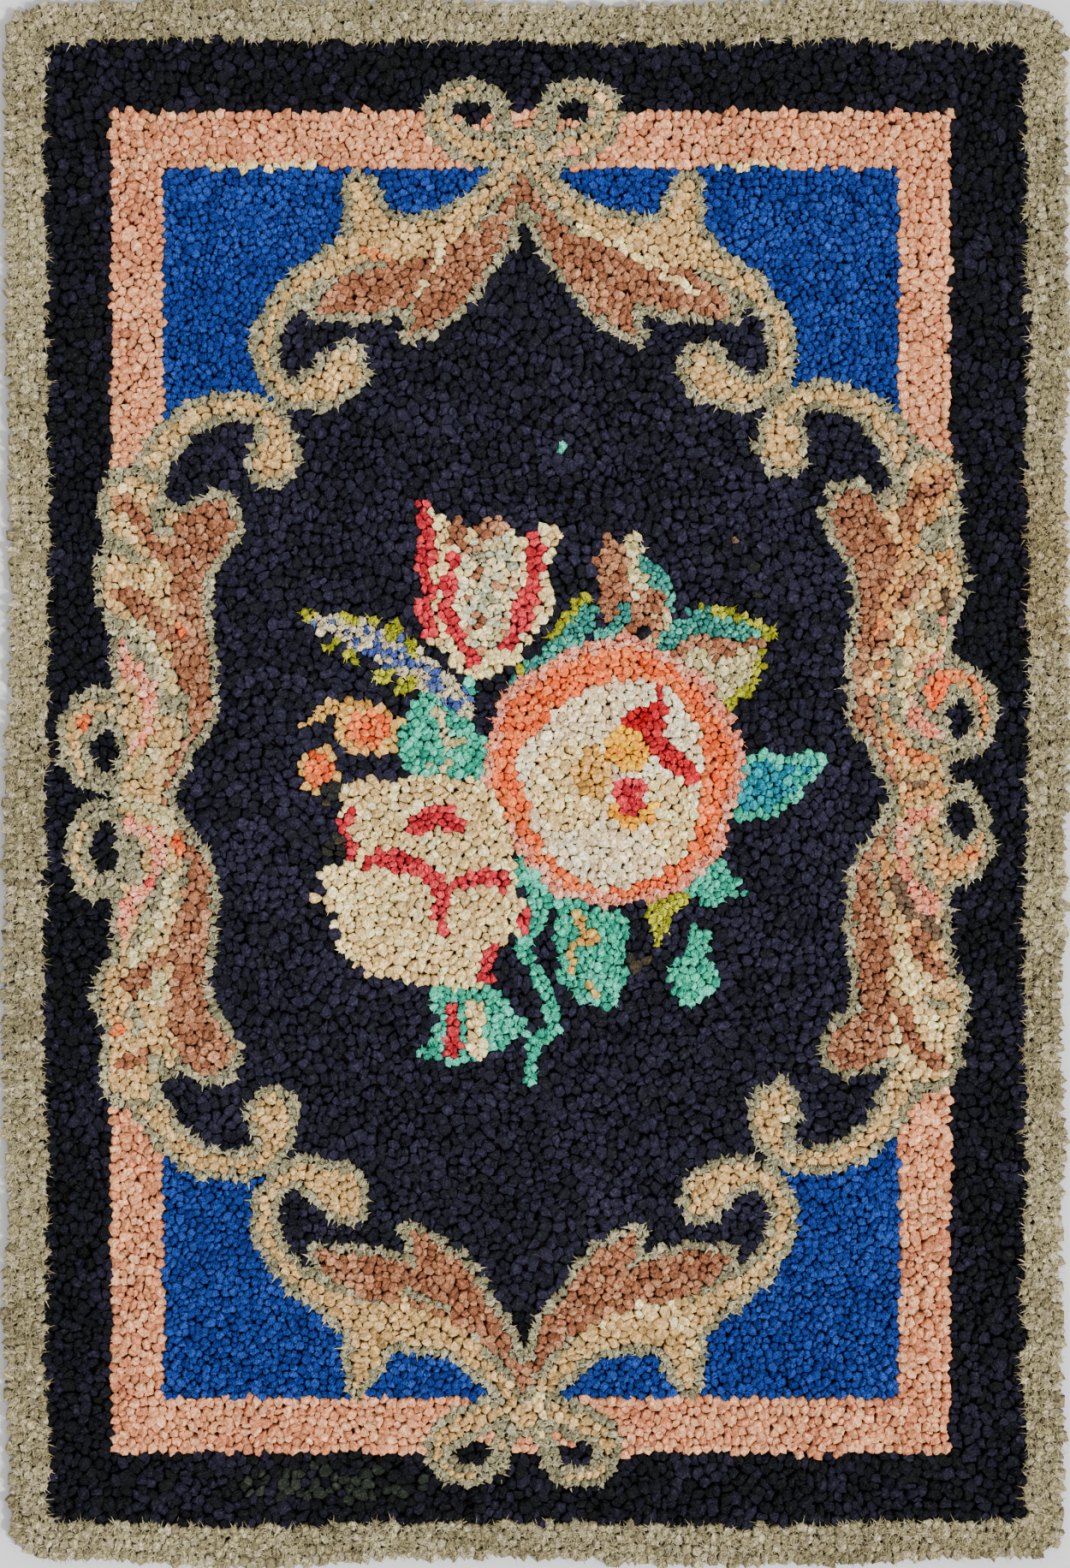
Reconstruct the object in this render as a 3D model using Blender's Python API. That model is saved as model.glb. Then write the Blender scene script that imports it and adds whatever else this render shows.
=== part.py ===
"""A flat hooked rug: a hemmed hessian foundation, a hooked border and a hooked field.

Metres, +Z up. The rug lies on z = 0 with its length along Y, and its origin is
under the middle of its outline. Heights in the section tables are in millimetres.
"""

import math
import random
from collections import namedtuple

import bmesh
import bpy
from mathutils import Vector, noise

MM = 0.001

# Whole rug, measured to the mean line of its ragged rim
RUG_WIDTH = 0.680
RUG_LENGTH = 1.005
OUTER_CORNER_RADIUS = 0.024
INNER_CORNER_RADIUS = 0.009

# Heights of the layers, from the surface that the rug lies on
CLOTH = 1.2
LAYER_GAP = 0.4
PIECE_GAP = 0.3
HEM_TOP = 2.0 * CLOTH + LAYER_GAP
PILE_FOOT = CLOTH + PIECE_GAP
PILE_FOOT_ON_HEM = HEM_TOP + PIECE_GAP
PILE_HEIGHT = 7.0
PILE_TOP = PILE_FOOT + PILE_HEIGHT

# Distances in from the rim line
CLOTH_EDGE = 5.0
FOLD_DEPTH = 0.7
HEM_WIDTH = 14.0
HEM_END = CLOTH_EDGE + HEM_WIDTH
RAMP_START = HEM_END + 0.6
RAMP_END = 23.2
BORDER_WIDTH = 23.8
FIELD_EDGE = BORDER_WIDTH + LAYER_GAP

# Stations round the rim, and the field's grid
SHORT_SIDE_STEPS = 27
LONG_SIDE_STEPS = 42
CORNER_STEPS = 2
FIELD_COLUMNS = 48
FIELD_ROWS = 72

# Locks of frayed strip that stand out from the rim, two to a station
LOCK_REACH = 3.0
LOCK_REACH_SPREAD = 1.2
LOCK_SWAY = 2.2
LOCK_DROOP = 1.1

# How much of the rim's wander is left at the border's inner edge
WANDER_KEPT_INSIDE = 0.4

# Size of the lumps in the pile, and how far a lump moves sideways
LUMP_SIZE = 11.0
BORDER_LUMP = 0.9
FIELD_LUMP = 1.3
FIELD_EDGE_DROP = 1.0
FIELD_SHIFT = 2.2

Side = namedtuple("Side", "name outward along reach half_run")
EdgeRow = namedtuple("EdgeRow", "place_mm out_mm")
Station = namedtuple("Station", "side share corner")
SectionRow = namedtuple("SectionRow", "name inset_mm height_mm lump_mm")
Look = namedtuple("Look", "colour roughness")

# The four sides, anticlockwise from above
SIDES = (
    Side("bottom", Vector((0, -1, 0)), Vector((1, 0, 0)), RUG_LENGTH / 2, RUG_WIDTH / 2),
    Side("right", Vector((1, 0, 0)), Vector((0, 1, 0)), RUG_WIDTH / 2, RUG_LENGTH / 2),
    Side("top", Vector((0, 1, 0)), Vector((-1, 0, 0)), RUG_LENGTH / 2, RUG_WIDTH / 2),
    Side("left", Vector((-1, 0, 0)), Vector((0, -1, 0)), RUG_WIDTH / 2, RUG_LENGTH / 2),
)

# How far each side of the worn rug swells out or draws in, by the place along it
EDGE_WANDER = {
    "bottom": (
        EdgeRow(-300, -2.5), EdgeRow(-191, 4.6), EdgeRow(-81, -2.2), EdgeRow(-10, -2.6),
        EdgeRow(110, 2.7), EdgeRow(196, 0.6), EdgeRow(300, -2.8),
    ),
    "right": (
        EdgeRow(-440, -1.5), EdgeRow(-354, -2.3), EdgeRow(-300, -3.3), EdgeRow(-227, 0.0),
        EdgeRow(-164, -2.9), EdgeRow(-70, -0.7), EdgeRow(30, 4.2), EdgeRow(130, 3.2),
        EdgeRow(218, -1.0), EdgeRow(281, 4.0), EdgeRow(345, 1.6), EdgeRow(440, 1.0),
    ),
    "top": (
        EdgeRow(-300, -3.0), EdgeRow(-251, -1.0), EdgeRow(-196, 2.8), EdgeRow(-140, 0.1),
        EdgeRow(-30, -3.0), EdgeRow(81, 2.2), EdgeRow(136, 1.3), EdgeRow(220, 3.4),
        EdgeRow(300, -0.8),
    ),
    "left": (
        EdgeRow(-440, 1.7), EdgeRow(-310, 0.6), EdgeRow(-190, -1.8), EdgeRow(-90, -3.1),
        EdgeRow(40, 1.9), EdgeRow(160, 3.3), EdgeRow(270, -0.6), EdgeRow(355, 2.2),
        EdgeRow(440, -2.0),
    ),
}

# Cross-section of the foundation: over the top, round the fold, under the hem and back
FOUNDATION_SECTION = (
    SectionRow("middle_top", RAMP_END, CLOTH, 0.0),
    SectionRow("ramp_top", RAMP_START, HEM_TOP, 0.0),
    SectionRow("fold_top", CLOTH_EDGE + FOLD_DEPTH, HEM_TOP, 0.0),
    SectionRow("fold_upper", CLOTH_EDGE, HEM_TOP - FOLD_DEPTH, 0.0),
    SectionRow("fold_lower", CLOTH_EDGE, FOLD_DEPTH, 0.0),
    SectionRow("fold_foot", CLOTH_EDGE + FOLD_DEPTH, 0.0, 0.0),
    SectionRow("hem_end_foot", HEM_END, 0.0, 0.0),
    SectionRow("hem_end_top", HEM_END, CLOTH, 0.0),
    SectionRow("pocket_lower", CLOTH_EDGE + CLOTH, CLOTH, 0.0),
    SectionRow("pocket_upper", CLOTH_EDGE + CLOTH, CLOTH + LAYER_GAP, 0.0),
    SectionRow("ramp_underside", RAMP_START, CLOTH + LAYER_GAP, 0.0),
    SectionRow("middle_foot", RAMP_END, 0.0, 0.0),
)

# Cross-section of the border: the rim's face, three rows of loops, and the underside
BORDER_SECTION = (
    SectionRow("lip_outer", 2.2, 1.0, 0.0),
    SectionRow("rim", 1.6, 6.6, 0.5),
    SectionRow("row_one_crest", 5.0, 9.5, BORDER_LUMP),
    SectionRow("furrow_one", 8.7, 8.3, 0.4),
    SectionRow("row_two_crest", 12.4, 9.4, BORDER_LUMP),
    SectionRow("furrow_two", 16.2, 8.1, 0.4),
    SectionRow("row_three_crest", 19.9, 8.9, BORDER_LUMP),
    SectionRow("inner_top", BORDER_WIDTH, PILE_TOP - FIELD_EDGE_DROP, 0.0),
    SectionRow("inner_foot", BORDER_WIDTH, PILE_FOOT, 0.0),
    SectionRow("over_ramp", RAMP_START, PILE_FOOT_ON_HEM, 0.0),
    SectionRow("over_fold", CLOTH_EDGE - 2.0 * PIECE_GAP, PILE_FOOT_ON_HEM, 0.0),
    SectionRow("lip_inner", CLOTH_EDGE - 2.0 * PIECE_GAP, 1.0, 0.0),
)

LOOKS = {
    "foundation": Look((0.42, 0.31, 0.18, 1.0), 0.95),
    "pile_border": Look((0.37, 0.33, 0.22, 1.0), 0.95),
    "pile_field": Look((0.014, 0.014, 0.021, 1.0), 0.92),
}


def smooth_share(share):
    """Ease a share from 0 to 1 so that it starts and ends level."""
    return share * share * (3.0 - 2.0 * share)


def edge_wander(side, place):
    """How far the rim stands out of the straight line, at a place along a side."""
    rows = EDGE_WANDER[side.name]
    place_mm = place / MM
    if place_mm <= rows[0].place_mm:
        return rows[0].out_mm * MM
    for before, after in zip(rows, rows[1:]):
        if place_mm <= after.place_mm:
            share = (place_mm - before.place_mm) / (after.place_mm - before.place_mm)
            out_mm = before.out_mm + (after.out_mm - before.out_mm) * smooth_share(share)
            return out_mm * MM
    return rows[-1].out_mm * MM


def wander_kept(inset):
    """The share of the rim's wander that a line this far in still follows."""
    share = min(inset / (BORDER_WIDTH * MM), 1.0)
    return 1.0 - (1.0 - WANDER_KEPT_INSIDE) * share


def corner_radius(inset):
    """Corners tighten from the rim to the border's inner edge."""
    share = min(inset / (BORDER_WIDTH * MM), 1.0)
    return OUTER_CORNER_RADIUS + (INNER_CORNER_RADIUS - OUTER_CORNER_RADIUS) * share


def straight_point(side, place, inset):
    """A point at a place along a side, on the line this far in from the rim."""
    out = side.reach - inset + edge_wander(side, place) * wander_kept(inset)
    return side.outward * out + side.along * place


def station_direction(station):
    """The way out of the rug at a station, square to its rim."""
    side = SIDES[station.side]
    turn = station.corner * math.pi / 2
    return side.outward * math.cos(turn) + side.along * math.sin(turn)


def station_point(station, inset):
    """A station's point on the line this far in from the rim."""
    side = SIDES[station.side]
    following = SIDES[(station.side + 1) % len(SIDES)]
    radius = corner_radius(inset)
    run = side.half_run - inset - radius
    if station.corner == 0.0:
        return straight_point(side, station.share * run, inset)
    following_start = inset + radius - following.half_run
    wander = edge_wander(side, run) * (1.0 - station.corner)
    wander += edge_wander(following, following_start) * station.corner
    centre = side.outward * (side.reach - inset - radius) + side.along * run
    return centre + station_direction(station) * (radius + wander * wander_kept(inset))


def rim_stations():
    """The stations round the rug, anticlockwise from the bottom left."""
    stations = []
    for number, side in enumerate(SIDES):
        steps = SHORT_SIDE_STEPS if side.half_run < RUG_LENGTH / 2 else LONG_SIDE_STEPS
        for step in range(steps + 1):
            stations.append(Station(number, 2.0 * step / steps - 1.0, 0.0))
        for step in range(1, CORNER_STEPS + 1):
            stations.append(Station(number, 1.0, step / (CORNER_STEPS + 1)))
    return stations


def lump(point, layer):
    """A smooth unevenness from -1 to 1, different on each layer."""
    place = Vector((point.x, point.y, layer * 0.5)) / (LUMP_SIZE * MM)
    return max(-1.0, min(1.0, 2.0 * noise.noise(place)))


def add_ring(mesh, stations, row, layer):
    """One closed line of vertices round the rug, at a section row's inset and height."""
    ring = []
    for station in stations:
        point = station_point(station, row.inset_mm * MM)
        point.z = (row.height_mm + row.lump_mm * lump(point, layer)) * MM
        ring.append(mesh.verts.new(point))
    return ring


def bridge(mesh, ring, next_ring):
    """Join two lines of equal length with a band of quads."""
    count = len(ring)
    for i in range(count):
        j = (i + 1) % count
        mesh.faces.new((ring[i], ring[j], next_ring[j], next_ring[i]))


def bridge_halved(mesh, ring, middles, next_ring):
    """Join a line that has a vertex between each two of its own to a plain line."""
    count = len(ring)
    for i in range(count):
        j = (i + 1) % count
        mesh.faces.new((ring[i], middles[i], next_ring[i]))
        mesh.faces.new((middles[i], next_ring[j], next_ring[i]))
        mesh.faces.new((middles[i], ring[j], next_ring[j]))


def add_middles(mesh, ring):
    """A vertex halfway between each two neighbours on a closed line."""
    count = len(ring)
    return [mesh.verts.new((ring[i].co + ring[(i + 1) % count].co) / 2) for i in range(count)]


def add_lock(mesh, corners, outward, chance):
    """A four-sided lock of frayed strip on one small face of the rim."""
    centre = sum((corner.co for corner in corners), Vector()) / len(corners)
    along = Vector((-outward.y, outward.x, 0.0))
    reach = LOCK_REACH + LOCK_REACH_SPREAD * chance.uniform(-1.0, 1.0)
    tip = centre + outward * reach * MM
    tip += along * LOCK_SWAY * chance.uniform(-1.0, 1.0) * MM
    tip.z += LOCK_DROOP * chance.uniform(-1.0, 1.0) * MM
    tip_vertex = mesh.verts.new(tip)
    for i, corner in enumerate(corners):
        mesh.faces.new((corner, corners[(i + 1) % len(corners)], tip_vertex))


def finish_object(mesh, name):
    """Turn the faces outwards and make the named object with its material."""
    bmesh.ops.recalc_face_normals(mesh, faces=mesh.faces)
    data = bpy.data.meshes.new(name)
    mesh.to_mesh(data)
    mesh.free()
    data.shade_smooth()
    data.set_sharp_from_angle(angle=math.radians(50))
    material = bpy.data.materials.new(name)
    material.use_nodes = True
    shader = material.node_tree.nodes["Principled BSDF"]
    shader.inputs["Base Color"].default_value = LOOKS[name].colour
    shader.inputs["Roughness"].default_value = LOOKS[name].roughness
    shader.inputs["Metallic"].default_value = 0.0
    data.materials.append(material)
    part = bpy.data.objects.new(name, data)
    bpy.context.scene.collection.objects.link(part)
    return part


def make_foundation():
    """The hessian cloth, flat on the floor, with its edge folded under all round."""
    mesh = bmesh.new()
    stations = rim_stations()
    rings = [add_ring(mesh, stations, row, 0) for row in FOUNDATION_SECTION]
    for ring, next_ring in zip(rings, rings[1:]):
        bridge(mesh, ring, next_ring)
    mesh.faces.new(rings[0])
    mesh.faces.new(rings[-1])
    return finish_object(mesh, "foundation")


def make_border():
    """Three rows of loops round the edge, with locks of frayed strip at the rim."""
    mesh = bmesh.new()
    stations = rim_stations()
    rings = [add_ring(mesh, stations, row, layer) for layer, row in enumerate(BORDER_SECTION)]
    lip, rim = rings[0], rings[1]
    lip_middles = add_middles(mesh, lip)
    rim_middles = add_middles(mesh, rim)
    bridge_halved(mesh, rim, rim_middles, rings[2])
    bridge_halved(mesh, lip, lip_middles, rings[-1])
    for ring, next_ring in zip(rings[2:], rings[3:]):
        bridge(mesh, ring, next_ring)
    chance = random.Random(7)
    count = len(stations)
    for i, station in enumerate(stations):
        j = (i + 1) % count
        outward = station_direction(station)
        add_lock(mesh, (lip[i], lip_middles[i], rim_middles[i], rim[i]), outward, chance)
        add_lock(mesh, (lip_middles[i], lip[j], rim[j], rim_middles[i]), outward, chance)
    return finish_object(mesh, "pile_border")


def field_edge_line(side_number, steps):
    """The field's edge along one side, from corner to corner."""
    side = SIDES[side_number]
    inset = FIELD_EDGE * MM
    half = side.half_run - inset
    before = Station((side_number - 1) % len(SIDES), 1.0, 0.5)
    after = Station(side_number, 1.0, 0.5)
    line = [station_point(before, inset)]
    for step in range(1, steps):
        line.append(straight_point(side, half * (2.0 * step / steps - 1.0), inset))
    line.append(station_point(after, inset))
    return line


def field_grid():
    """Points all over the field, blended between its four edges."""
    bottom = field_edge_line(0, FIELD_COLUMNS)
    right = field_edge_line(1, FIELD_ROWS)
    top = field_edge_line(2, FIELD_COLUMNS)[::-1]
    left = field_edge_line(3, FIELD_ROWS)[::-1]
    grid = []
    for row in range(FIELD_ROWS + 1):
        v = row / FIELD_ROWS
        line = []
        for column in range(FIELD_COLUMNS + 1):
            u = column / FIELD_COLUMNS
            point = bottom[column] * (1 - v) + top[column] * v
            point += left[row] * (1 - u) + right[row] * u
            point -= (bottom[0] * (1 - u) + bottom[-1] * u) * (1 - v)
            point -= (top[0] * (1 - u) + top[-1] * u) * v
            line.append(point)
        grid.append(line)
    return grid


def make_field():
    """The hooked field: a lumpy slab inside the border, flat underneath."""
    mesh = bmesh.new()
    vertices = []
    for row, line in enumerate(field_grid()):
        vertex_line = []
        for column, point in enumerate(line):
            on_edge = row in (0, FIELD_ROWS) or column in (0, FIELD_COLUMNS)
            if on_edge:
                point.z = (PILE_TOP - FIELD_EDGE_DROP) * MM
            else:
                height = PILE_TOP + FIELD_LUMP * lump(point, 21)
                shift = Vector((lump(point, 22), lump(point, 23), 0.0)) * FIELD_SHIFT * MM
                point += shift
                point.z = height * MM
            vertex_line.append(mesh.verts.new(point))
        vertices.append(vertex_line)
    for row in range(FIELD_ROWS):
        for column in range(FIELD_COLUMNS):
            mesh.faces.new((
                vertices[row][column], vertices[row][column + 1],
                vertices[row + 1][column + 1], vertices[row + 1][column],
            ))
    edge = vertices[0][:-1]
    edge += [line[-1] for line in vertices[:-1]]
    edge += vertices[-1][:0:-1]
    edge += [line[0] for line in vertices[:0:-1]]
    foot = [mesh.verts.new((vertex.co.x, vertex.co.y, PILE_FOOT * MM)) for vertex in edge]
    bridge(mesh, edge, foot)
    mesh.faces.new(foot)
    return finish_object(mesh, "pile_field")


def centre_on_origin(parts):
    """Slide the whole rug so that its outline's box is centred over the origin."""
    points = [vertex.co for part in parts for vertex in part.data.vertices]
    middle_x = (min(p.x for p in points) + max(p.x for p in points)) / 2
    middle_y = (min(p.y for p in points) + max(p.y for p in points)) / 2
    for part in parts:
        for vertex in part.data.vertices:
            vertex.co.x -= middle_x
            vertex.co.y -= middle_y


def main():
    for old in list(bpy.data.objects):
        bpy.data.objects.remove(old)
    centre_on_origin([make_foundation(), make_border(), make_field()])


main()
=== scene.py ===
"""A flat hooked rug: rag strips looped in a worn floral pattern on hemmed hessian.

Lengths in the tables and in the layout are in millimetres, in the frame's own axes:
X to the right, Y towards the far edge, Z up, with the origin under the middle of the
rug. Meshes are written in metres.
"""

import math
from collections import namedtuple

import bpy
import numpy as np
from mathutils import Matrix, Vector, noise
from mathutils.kdtree import KDTree


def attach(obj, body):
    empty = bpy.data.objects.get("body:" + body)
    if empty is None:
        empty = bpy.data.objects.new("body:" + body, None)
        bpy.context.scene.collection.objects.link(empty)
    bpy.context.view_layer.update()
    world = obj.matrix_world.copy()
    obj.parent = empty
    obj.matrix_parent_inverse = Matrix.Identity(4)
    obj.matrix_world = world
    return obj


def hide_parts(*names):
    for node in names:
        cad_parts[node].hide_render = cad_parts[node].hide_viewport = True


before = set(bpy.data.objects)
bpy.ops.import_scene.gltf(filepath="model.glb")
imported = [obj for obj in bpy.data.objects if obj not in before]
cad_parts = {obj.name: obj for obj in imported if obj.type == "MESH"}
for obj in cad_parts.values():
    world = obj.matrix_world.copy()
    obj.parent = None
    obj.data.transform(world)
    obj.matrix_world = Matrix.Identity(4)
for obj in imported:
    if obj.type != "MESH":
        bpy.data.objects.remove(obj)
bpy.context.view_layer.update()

MM = 0.001
chance = np.random.default_rng(41)

# The rug as its solids have it, measured to the mean line of its ragged rim
RUG_WIDTH = 680.0
RUG_LENGTH = 1005.0
OUTER_CORNER_RADIUS = 24.0
INNER_CORNER_RADIUS = 9.0
BORDER_WIDTH = 24.0
WANDER_KEPT_INSIDE = 0.4
RIM_SHIFT = np.array((-0.45, 0.6))

# Heights of the loops' feet and tops
FOOT_AT_RIM = 0.7
FOOT_ON_HEM = 3.0
FOOT_ON_CLOTH = 1.4
HEM_INSET = (3.4, 5.6, 19.4, 23.2)
BORDER_TOP = 9.2
FIELD_TOP = 8.4
LUMP_SIZE = 11.0
LUMP_HEIGHT = 0.7

Side = namedtuple("Side", "name outward along reach half_run")
# A limb is a line of beads (x, y, half width), and a blob an outline of spots (x, y)
Limb = namedtuple("Limb", "beads")
Blob = namedtuple("Blob", "spots")
Oval = namedtuple("Oval", "x y half_x half_y")
Bar = namedtuple("Bar", "left bottom right top")
Patch = namedtuple("Patch", "zone shape edge_zone edge_width", defaults=(None, 0.0))
Quarter = namedtuple("Quarter", "name across along")
Zone = namedtuple("Zone", "slot pitch stretch shades")
Ring = namedtuple("Ring", "width arch_width height arch_height tone")
Finish = namedtuple("Finish", "roughness sheen gloss crumple rib")

# The four sides, anticlockwise from above
SIDES = (
    Side("bottom", np.array((0.0, -1.0)), np.array((1.0, 0.0)), RUG_LENGTH / 2, RUG_WIDTH / 2),
    Side("right", np.array((1.0, 0.0)), np.array((0.0, 1.0)), RUG_WIDTH / 2, RUG_LENGTH / 2),
    Side("top", np.array((0.0, 1.0)), np.array((-1.0, 0.0)), RUG_LENGTH / 2, RUG_WIDTH / 2),
    Side("left", np.array((-1.0, 0.0)), np.array((0.0, -1.0)), RUG_WIDTH / 2, RUG_LENGTH / 2),
)

# How far each side of the worn rug swells out or draws in, by the place along it
EDGE_WANDER = {
    "bottom": (
        (-300, -2.5), (-191, 4.6), (-81, -2.2), (-10, -2.6),
        (110, 2.7), (196, 0.6), (300, -2.8),
    ),
    "right": (
        (-440, -1.5), (-354, -2.3), (-300, -3.3), (-227, 0.0),
        (-164, -2.9), (-70, -0.7), (30, 4.2), (130, 3.2),
        (218, -1.0), (281, 4.0), (345, 1.6), (440, 1.0),
    ),
    "top": (
        (-300, -3.0), (-251, -1.0), (-196, 2.8), (-140, 0.1),
        (-30, -3.0), (81, 2.2), (136, 1.3), (220, 3.4),
        (300, -0.8),
    ),
    "left": (
        (-440, 1.7), (-310, 0.6), (-190, -1.8), (-90, -3.1),
        (40, 1.9), (160, 3.3), (270, -0.6), (355, 2.2),
        (440, -2.0),
    ),
}

# Each zone's material slot, loop spacing, loop length to width, and the shades of its rags
ZONES = {
    "taupe": Zone("taupe_strips", 5.9, 1.25, (
        (171, 160, 122), (157, 146, 107), (181, 170, 135), (145, 134, 98))),
    "dark": Zone("dark_strips", 8.2, 1.8, (
        (16, 17, 25), (12, 13, 18), (20, 20, 31), (14, 15, 18), (28, 26, 41))),
    "navy": Zone("dark_strips", 8.2, 1.8, (
        (28, 28, 41), (21, 21, 31), (34, 33, 50), (25, 26, 34), (38, 36, 54))),
    "moss": Zone("dark_strips", 8.2, 1.5, ((36, 42, 35), (28, 33, 29), (44, 50, 42))),
    "olive": Zone("dark_strips", 8.2, 1.4, ((60, 52, 40), (46, 46, 42), (36, 38, 36))),
    "pink": Zone("pink_strips", 6.5, 1.4, (
        (229, 159, 115), (218, 144, 101), (238, 175, 131), (233, 163, 119), (209, 134, 95))),
    "blue": Zone("blue_strips", 5.5, 1.15, ((27, 59, 138), (22, 50, 124), (34, 69, 150))),
    "brown": Zone("brown_strips", 6.4, 1.45, ((168, 112, 80), (147, 92, 63), (188, 134, 98))),
    "gold": Zone("gold_strips", 6.5, 1.4, (
        (212, 172, 112), (194, 160, 104), (224, 188, 130), (204, 164, 106))),
    "sage": Zone("sage_strips", 6.1, 1.3, ((160, 153, 119), (139, 134, 101), (176, 169, 135))),
    "cream": Zone("cream_strips", 6.7, 1.45, (
        (250, 224, 158), (238, 204, 142), (255, 240, 180), (228, 194, 132))),
    "dome": Zone("cream_strips", 5.8, 1.4, (
        (246, 226, 172), (206, 208, 174), (250, 234, 190), (182, 124, 90), (192, 200, 172),
        (240, 214, 158))),
    "lilac": Zone("cream_strips", 6.7, 1.25, ((216, 186, 166), (230, 204, 182))),
    "white": Zone("cream_strips", 6.7, 1.35, ((250, 230, 186), (238, 212, 168), (254, 242, 206))),
    "amber": Zone("gold_strips", 6.1, 1.2, ((212, 152, 92), (198, 138, 80), (224, 170, 112))),
    "umber": Zone("brown_strips", 6.1, 1.2, ((124, 100, 78), (108, 86, 66))),
    "straw": Zone("gold_strips", 6.1, 1.25, ((214, 200, 148), (194, 180, 126), (228, 214, 168))),
    "orange": Zone("gold_strips", 6.1, 1.2, ((226, 132, 76), (232, 156, 88))),
    "yellow": Zone("gold_strips", 6.1, 1.2, ((252, 174, 22), (240, 156, 14), (255, 188, 36))),
    "ochre": Zone("gold_strips", 6.1, 1.2, ((216, 164, 81), (202, 150, 72), (228, 179, 98))),
    "red": Zone("red_strips", 5.8, 1.2, ((206, 54, 64), (182, 38, 50), (220, 68, 76))),
    "scarlet": Zone("red_strips", 5.8, 1.2, ((206, 26, 34), (182, 20, 28))),
    "crimson": Zone("red_strips", 5.8, 1.2, ((214, 50, 56), (194, 40, 48))),
    "coral": Zone("pink_strips", 6.1, 1.15, ((246, 114, 57), (230, 95, 44), (250, 132, 72))),
    "blush": Zone("pink_strips", 5.3, 1.3, ((240, 156, 124), (230, 134, 104), (246, 180, 150))),
    "teal": Zone("green_strips", 5.8, 1.2, ((68, 194, 158), (48, 166, 136), (94, 212, 182))),
    "spruce": Zone("green_strips", 4.7, 1.0, ((66, 158, 142), (48, 130, 120), (90, 184, 162))),
    "turquoise": Zone("green_strips", 6.1, 1.1, ((39, 156, 167), (29, 132, 155), (64, 184, 171))),
    "lime": Zone("green_strips", 5.3, 1.3, ((172, 172, 40), (144, 146, 28), (196, 194, 60))),
    "slate": Zone("blue_strips", 5.3, 1.4, (
        (214, 200, 164), (88, 106, 160), (222, 208, 172), (66, 86, 152), (206, 196, 158),
        (230, 216, 178))),
}
ZONE_NAMES = tuple(ZONES)
ZONE_NUMBER = {name: number for number, name in enumerate(ZONE_NAMES)}

# Rings from a loop's foot to its top, and how many sides the loops of a slot have
# Each ring's tone is painted shade: the colour darkens towards the foot, in the creases where loops meet
LOOP_RINGS = (
    Ring(1.14, 0.0, 0.00, 0.00, 0.62),
    Ring(1.05, 0.02, 0.77, 0.04, 0.82),
    Ring(0.88, 0.18, 0.95, 0.10, 1.00),
)
LOOP_SIDES = {"taupe_strips": 6, "blue_strips": 6, "sage_strips": 6}
USUAL_SIDES = 7
# Painted shade between two loops takes up more of their colour, as light caught there does
CREASE_DEPTH = 0.55

FINISHES = {
    "taupe_strips": Finish(0.95, 0.06, 0.10, 0.8, 0.0),
    "dark_strips": Finish(0.55, 0.0, 0.09, 0.7, 0.0),
    "pink_strips": Finish(0.85, 0.0, 0.10, 0.5, 0.0),
    "blue_strips": Finish(0.85, 0.0, 0.06, 0.5, 0.6),
    "brown_strips": Finish(0.88, 0.0, 0.10, 0.6, 0.2),
    "gold_strips": Finish(0.88, 0.0, 0.10, 0.5, 0.0),
    "sage_strips": Finish(0.92, 0.06, 0.10, 0.7, 0.0),
    "cream_strips": Finish(0.88, 0.0, 0.12, 0.6, 0.0),
    "red_strips": Finish(0.85, 0.0, 0.08, 0.5, 0.2),
    "green_strips": Finish(0.85, 0.0, 0.10, 0.6, 0.3),
}

# The pattern's own lines: the end scrolls' axis, the side scrolls' middle, and the outline
SCROLL_AXIS = -8.2
SIDE_MIDDLE = -8.0
OUTLINE_WIDTH = 6.0
STROKE_INSET = 5.0

# The pink frame: a bar along each end, and two bars on each side that stop at the scrolls
FRAME_BARS = (
    Bar(-275.8, 397.5, 268.3, 435.0), Bar(-275.8, -434.0, 268.3, -397.0),
    Bar(-275.8, 195.0, -241.0, 400.0), Bar(-275.8, -400.0, -241.0, -200.0),
    Bar(234.0, 205.0, 268.3, 400.0), Bar(234.0, -400.0, 268.3, -188.0),
)

MIDDLE = Bar(-276.0, -434.0, 268.0, 435.0)
FRAME_LIGHTS = (Bar(-215.0, 397.5, -140.0, 402.5), Bar(105.0, 397.5, 160.0, 402.5))

QUARTERS = (
    Quarter("left_upper", -1, 1), Quarter("left_lower", -1, -1),
    Quarter("right_upper", 1, 1), Quarter("right_lower", 1, -1),
)

# Blue corner panels: distances across from the axis and along from the rug's middle line
BLUE_PANEL = (
    (4, 412), (24, 380), (48, 358), (74, 350), (100, 348), (122, 336),
    (146, 321), (162, 301), (168, 279), (160, 255), (171, 241),
    (194, 243), (218, 234), (236, 214), (250, 205), (258, 230),
    (258, 300), (258, 380), (256, 424), (200, 424), (100, 424),
)

# End scrolls, in the same distances, with half widths that include the sage outline
END_BODY = (
    (2, 415, 9), (8, 398, 10), (24, 378, 11), (48, 358, 15), (74, 350, 19),
    (100, 348, 18), (122, 336, 13), (146, 321, 10.5), (162, 301, 9.5),
    (168, 279, 9.5), (162, 262, 9.5), (148, 252, 10), (134, 255, 14),
    (119, 264, 18), (113, 276, 11),
)
END_SPUR = ((99, 354, 19), (102, 370, 15), (105, 381, 12), (107, 387, 10))
END_CURL = (
    (2, 402, 9), (14, 406, 10), (38, 414, 12), (55, 428, 9.5), (51, 443, 8),
    (37, 449, 7.5), (24, 447, 6),
)
END_LINK = ((6, 410, 7), (13, 424, 6.5), (16, 438, 6), (18, 446, 4.5))
END_PLUME = (
    (0, 393, 8), (4, 380, 11), (15, 361, 14), (34, 340, 18), (54, 315, 19), (75, 288, 6),
)
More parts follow.
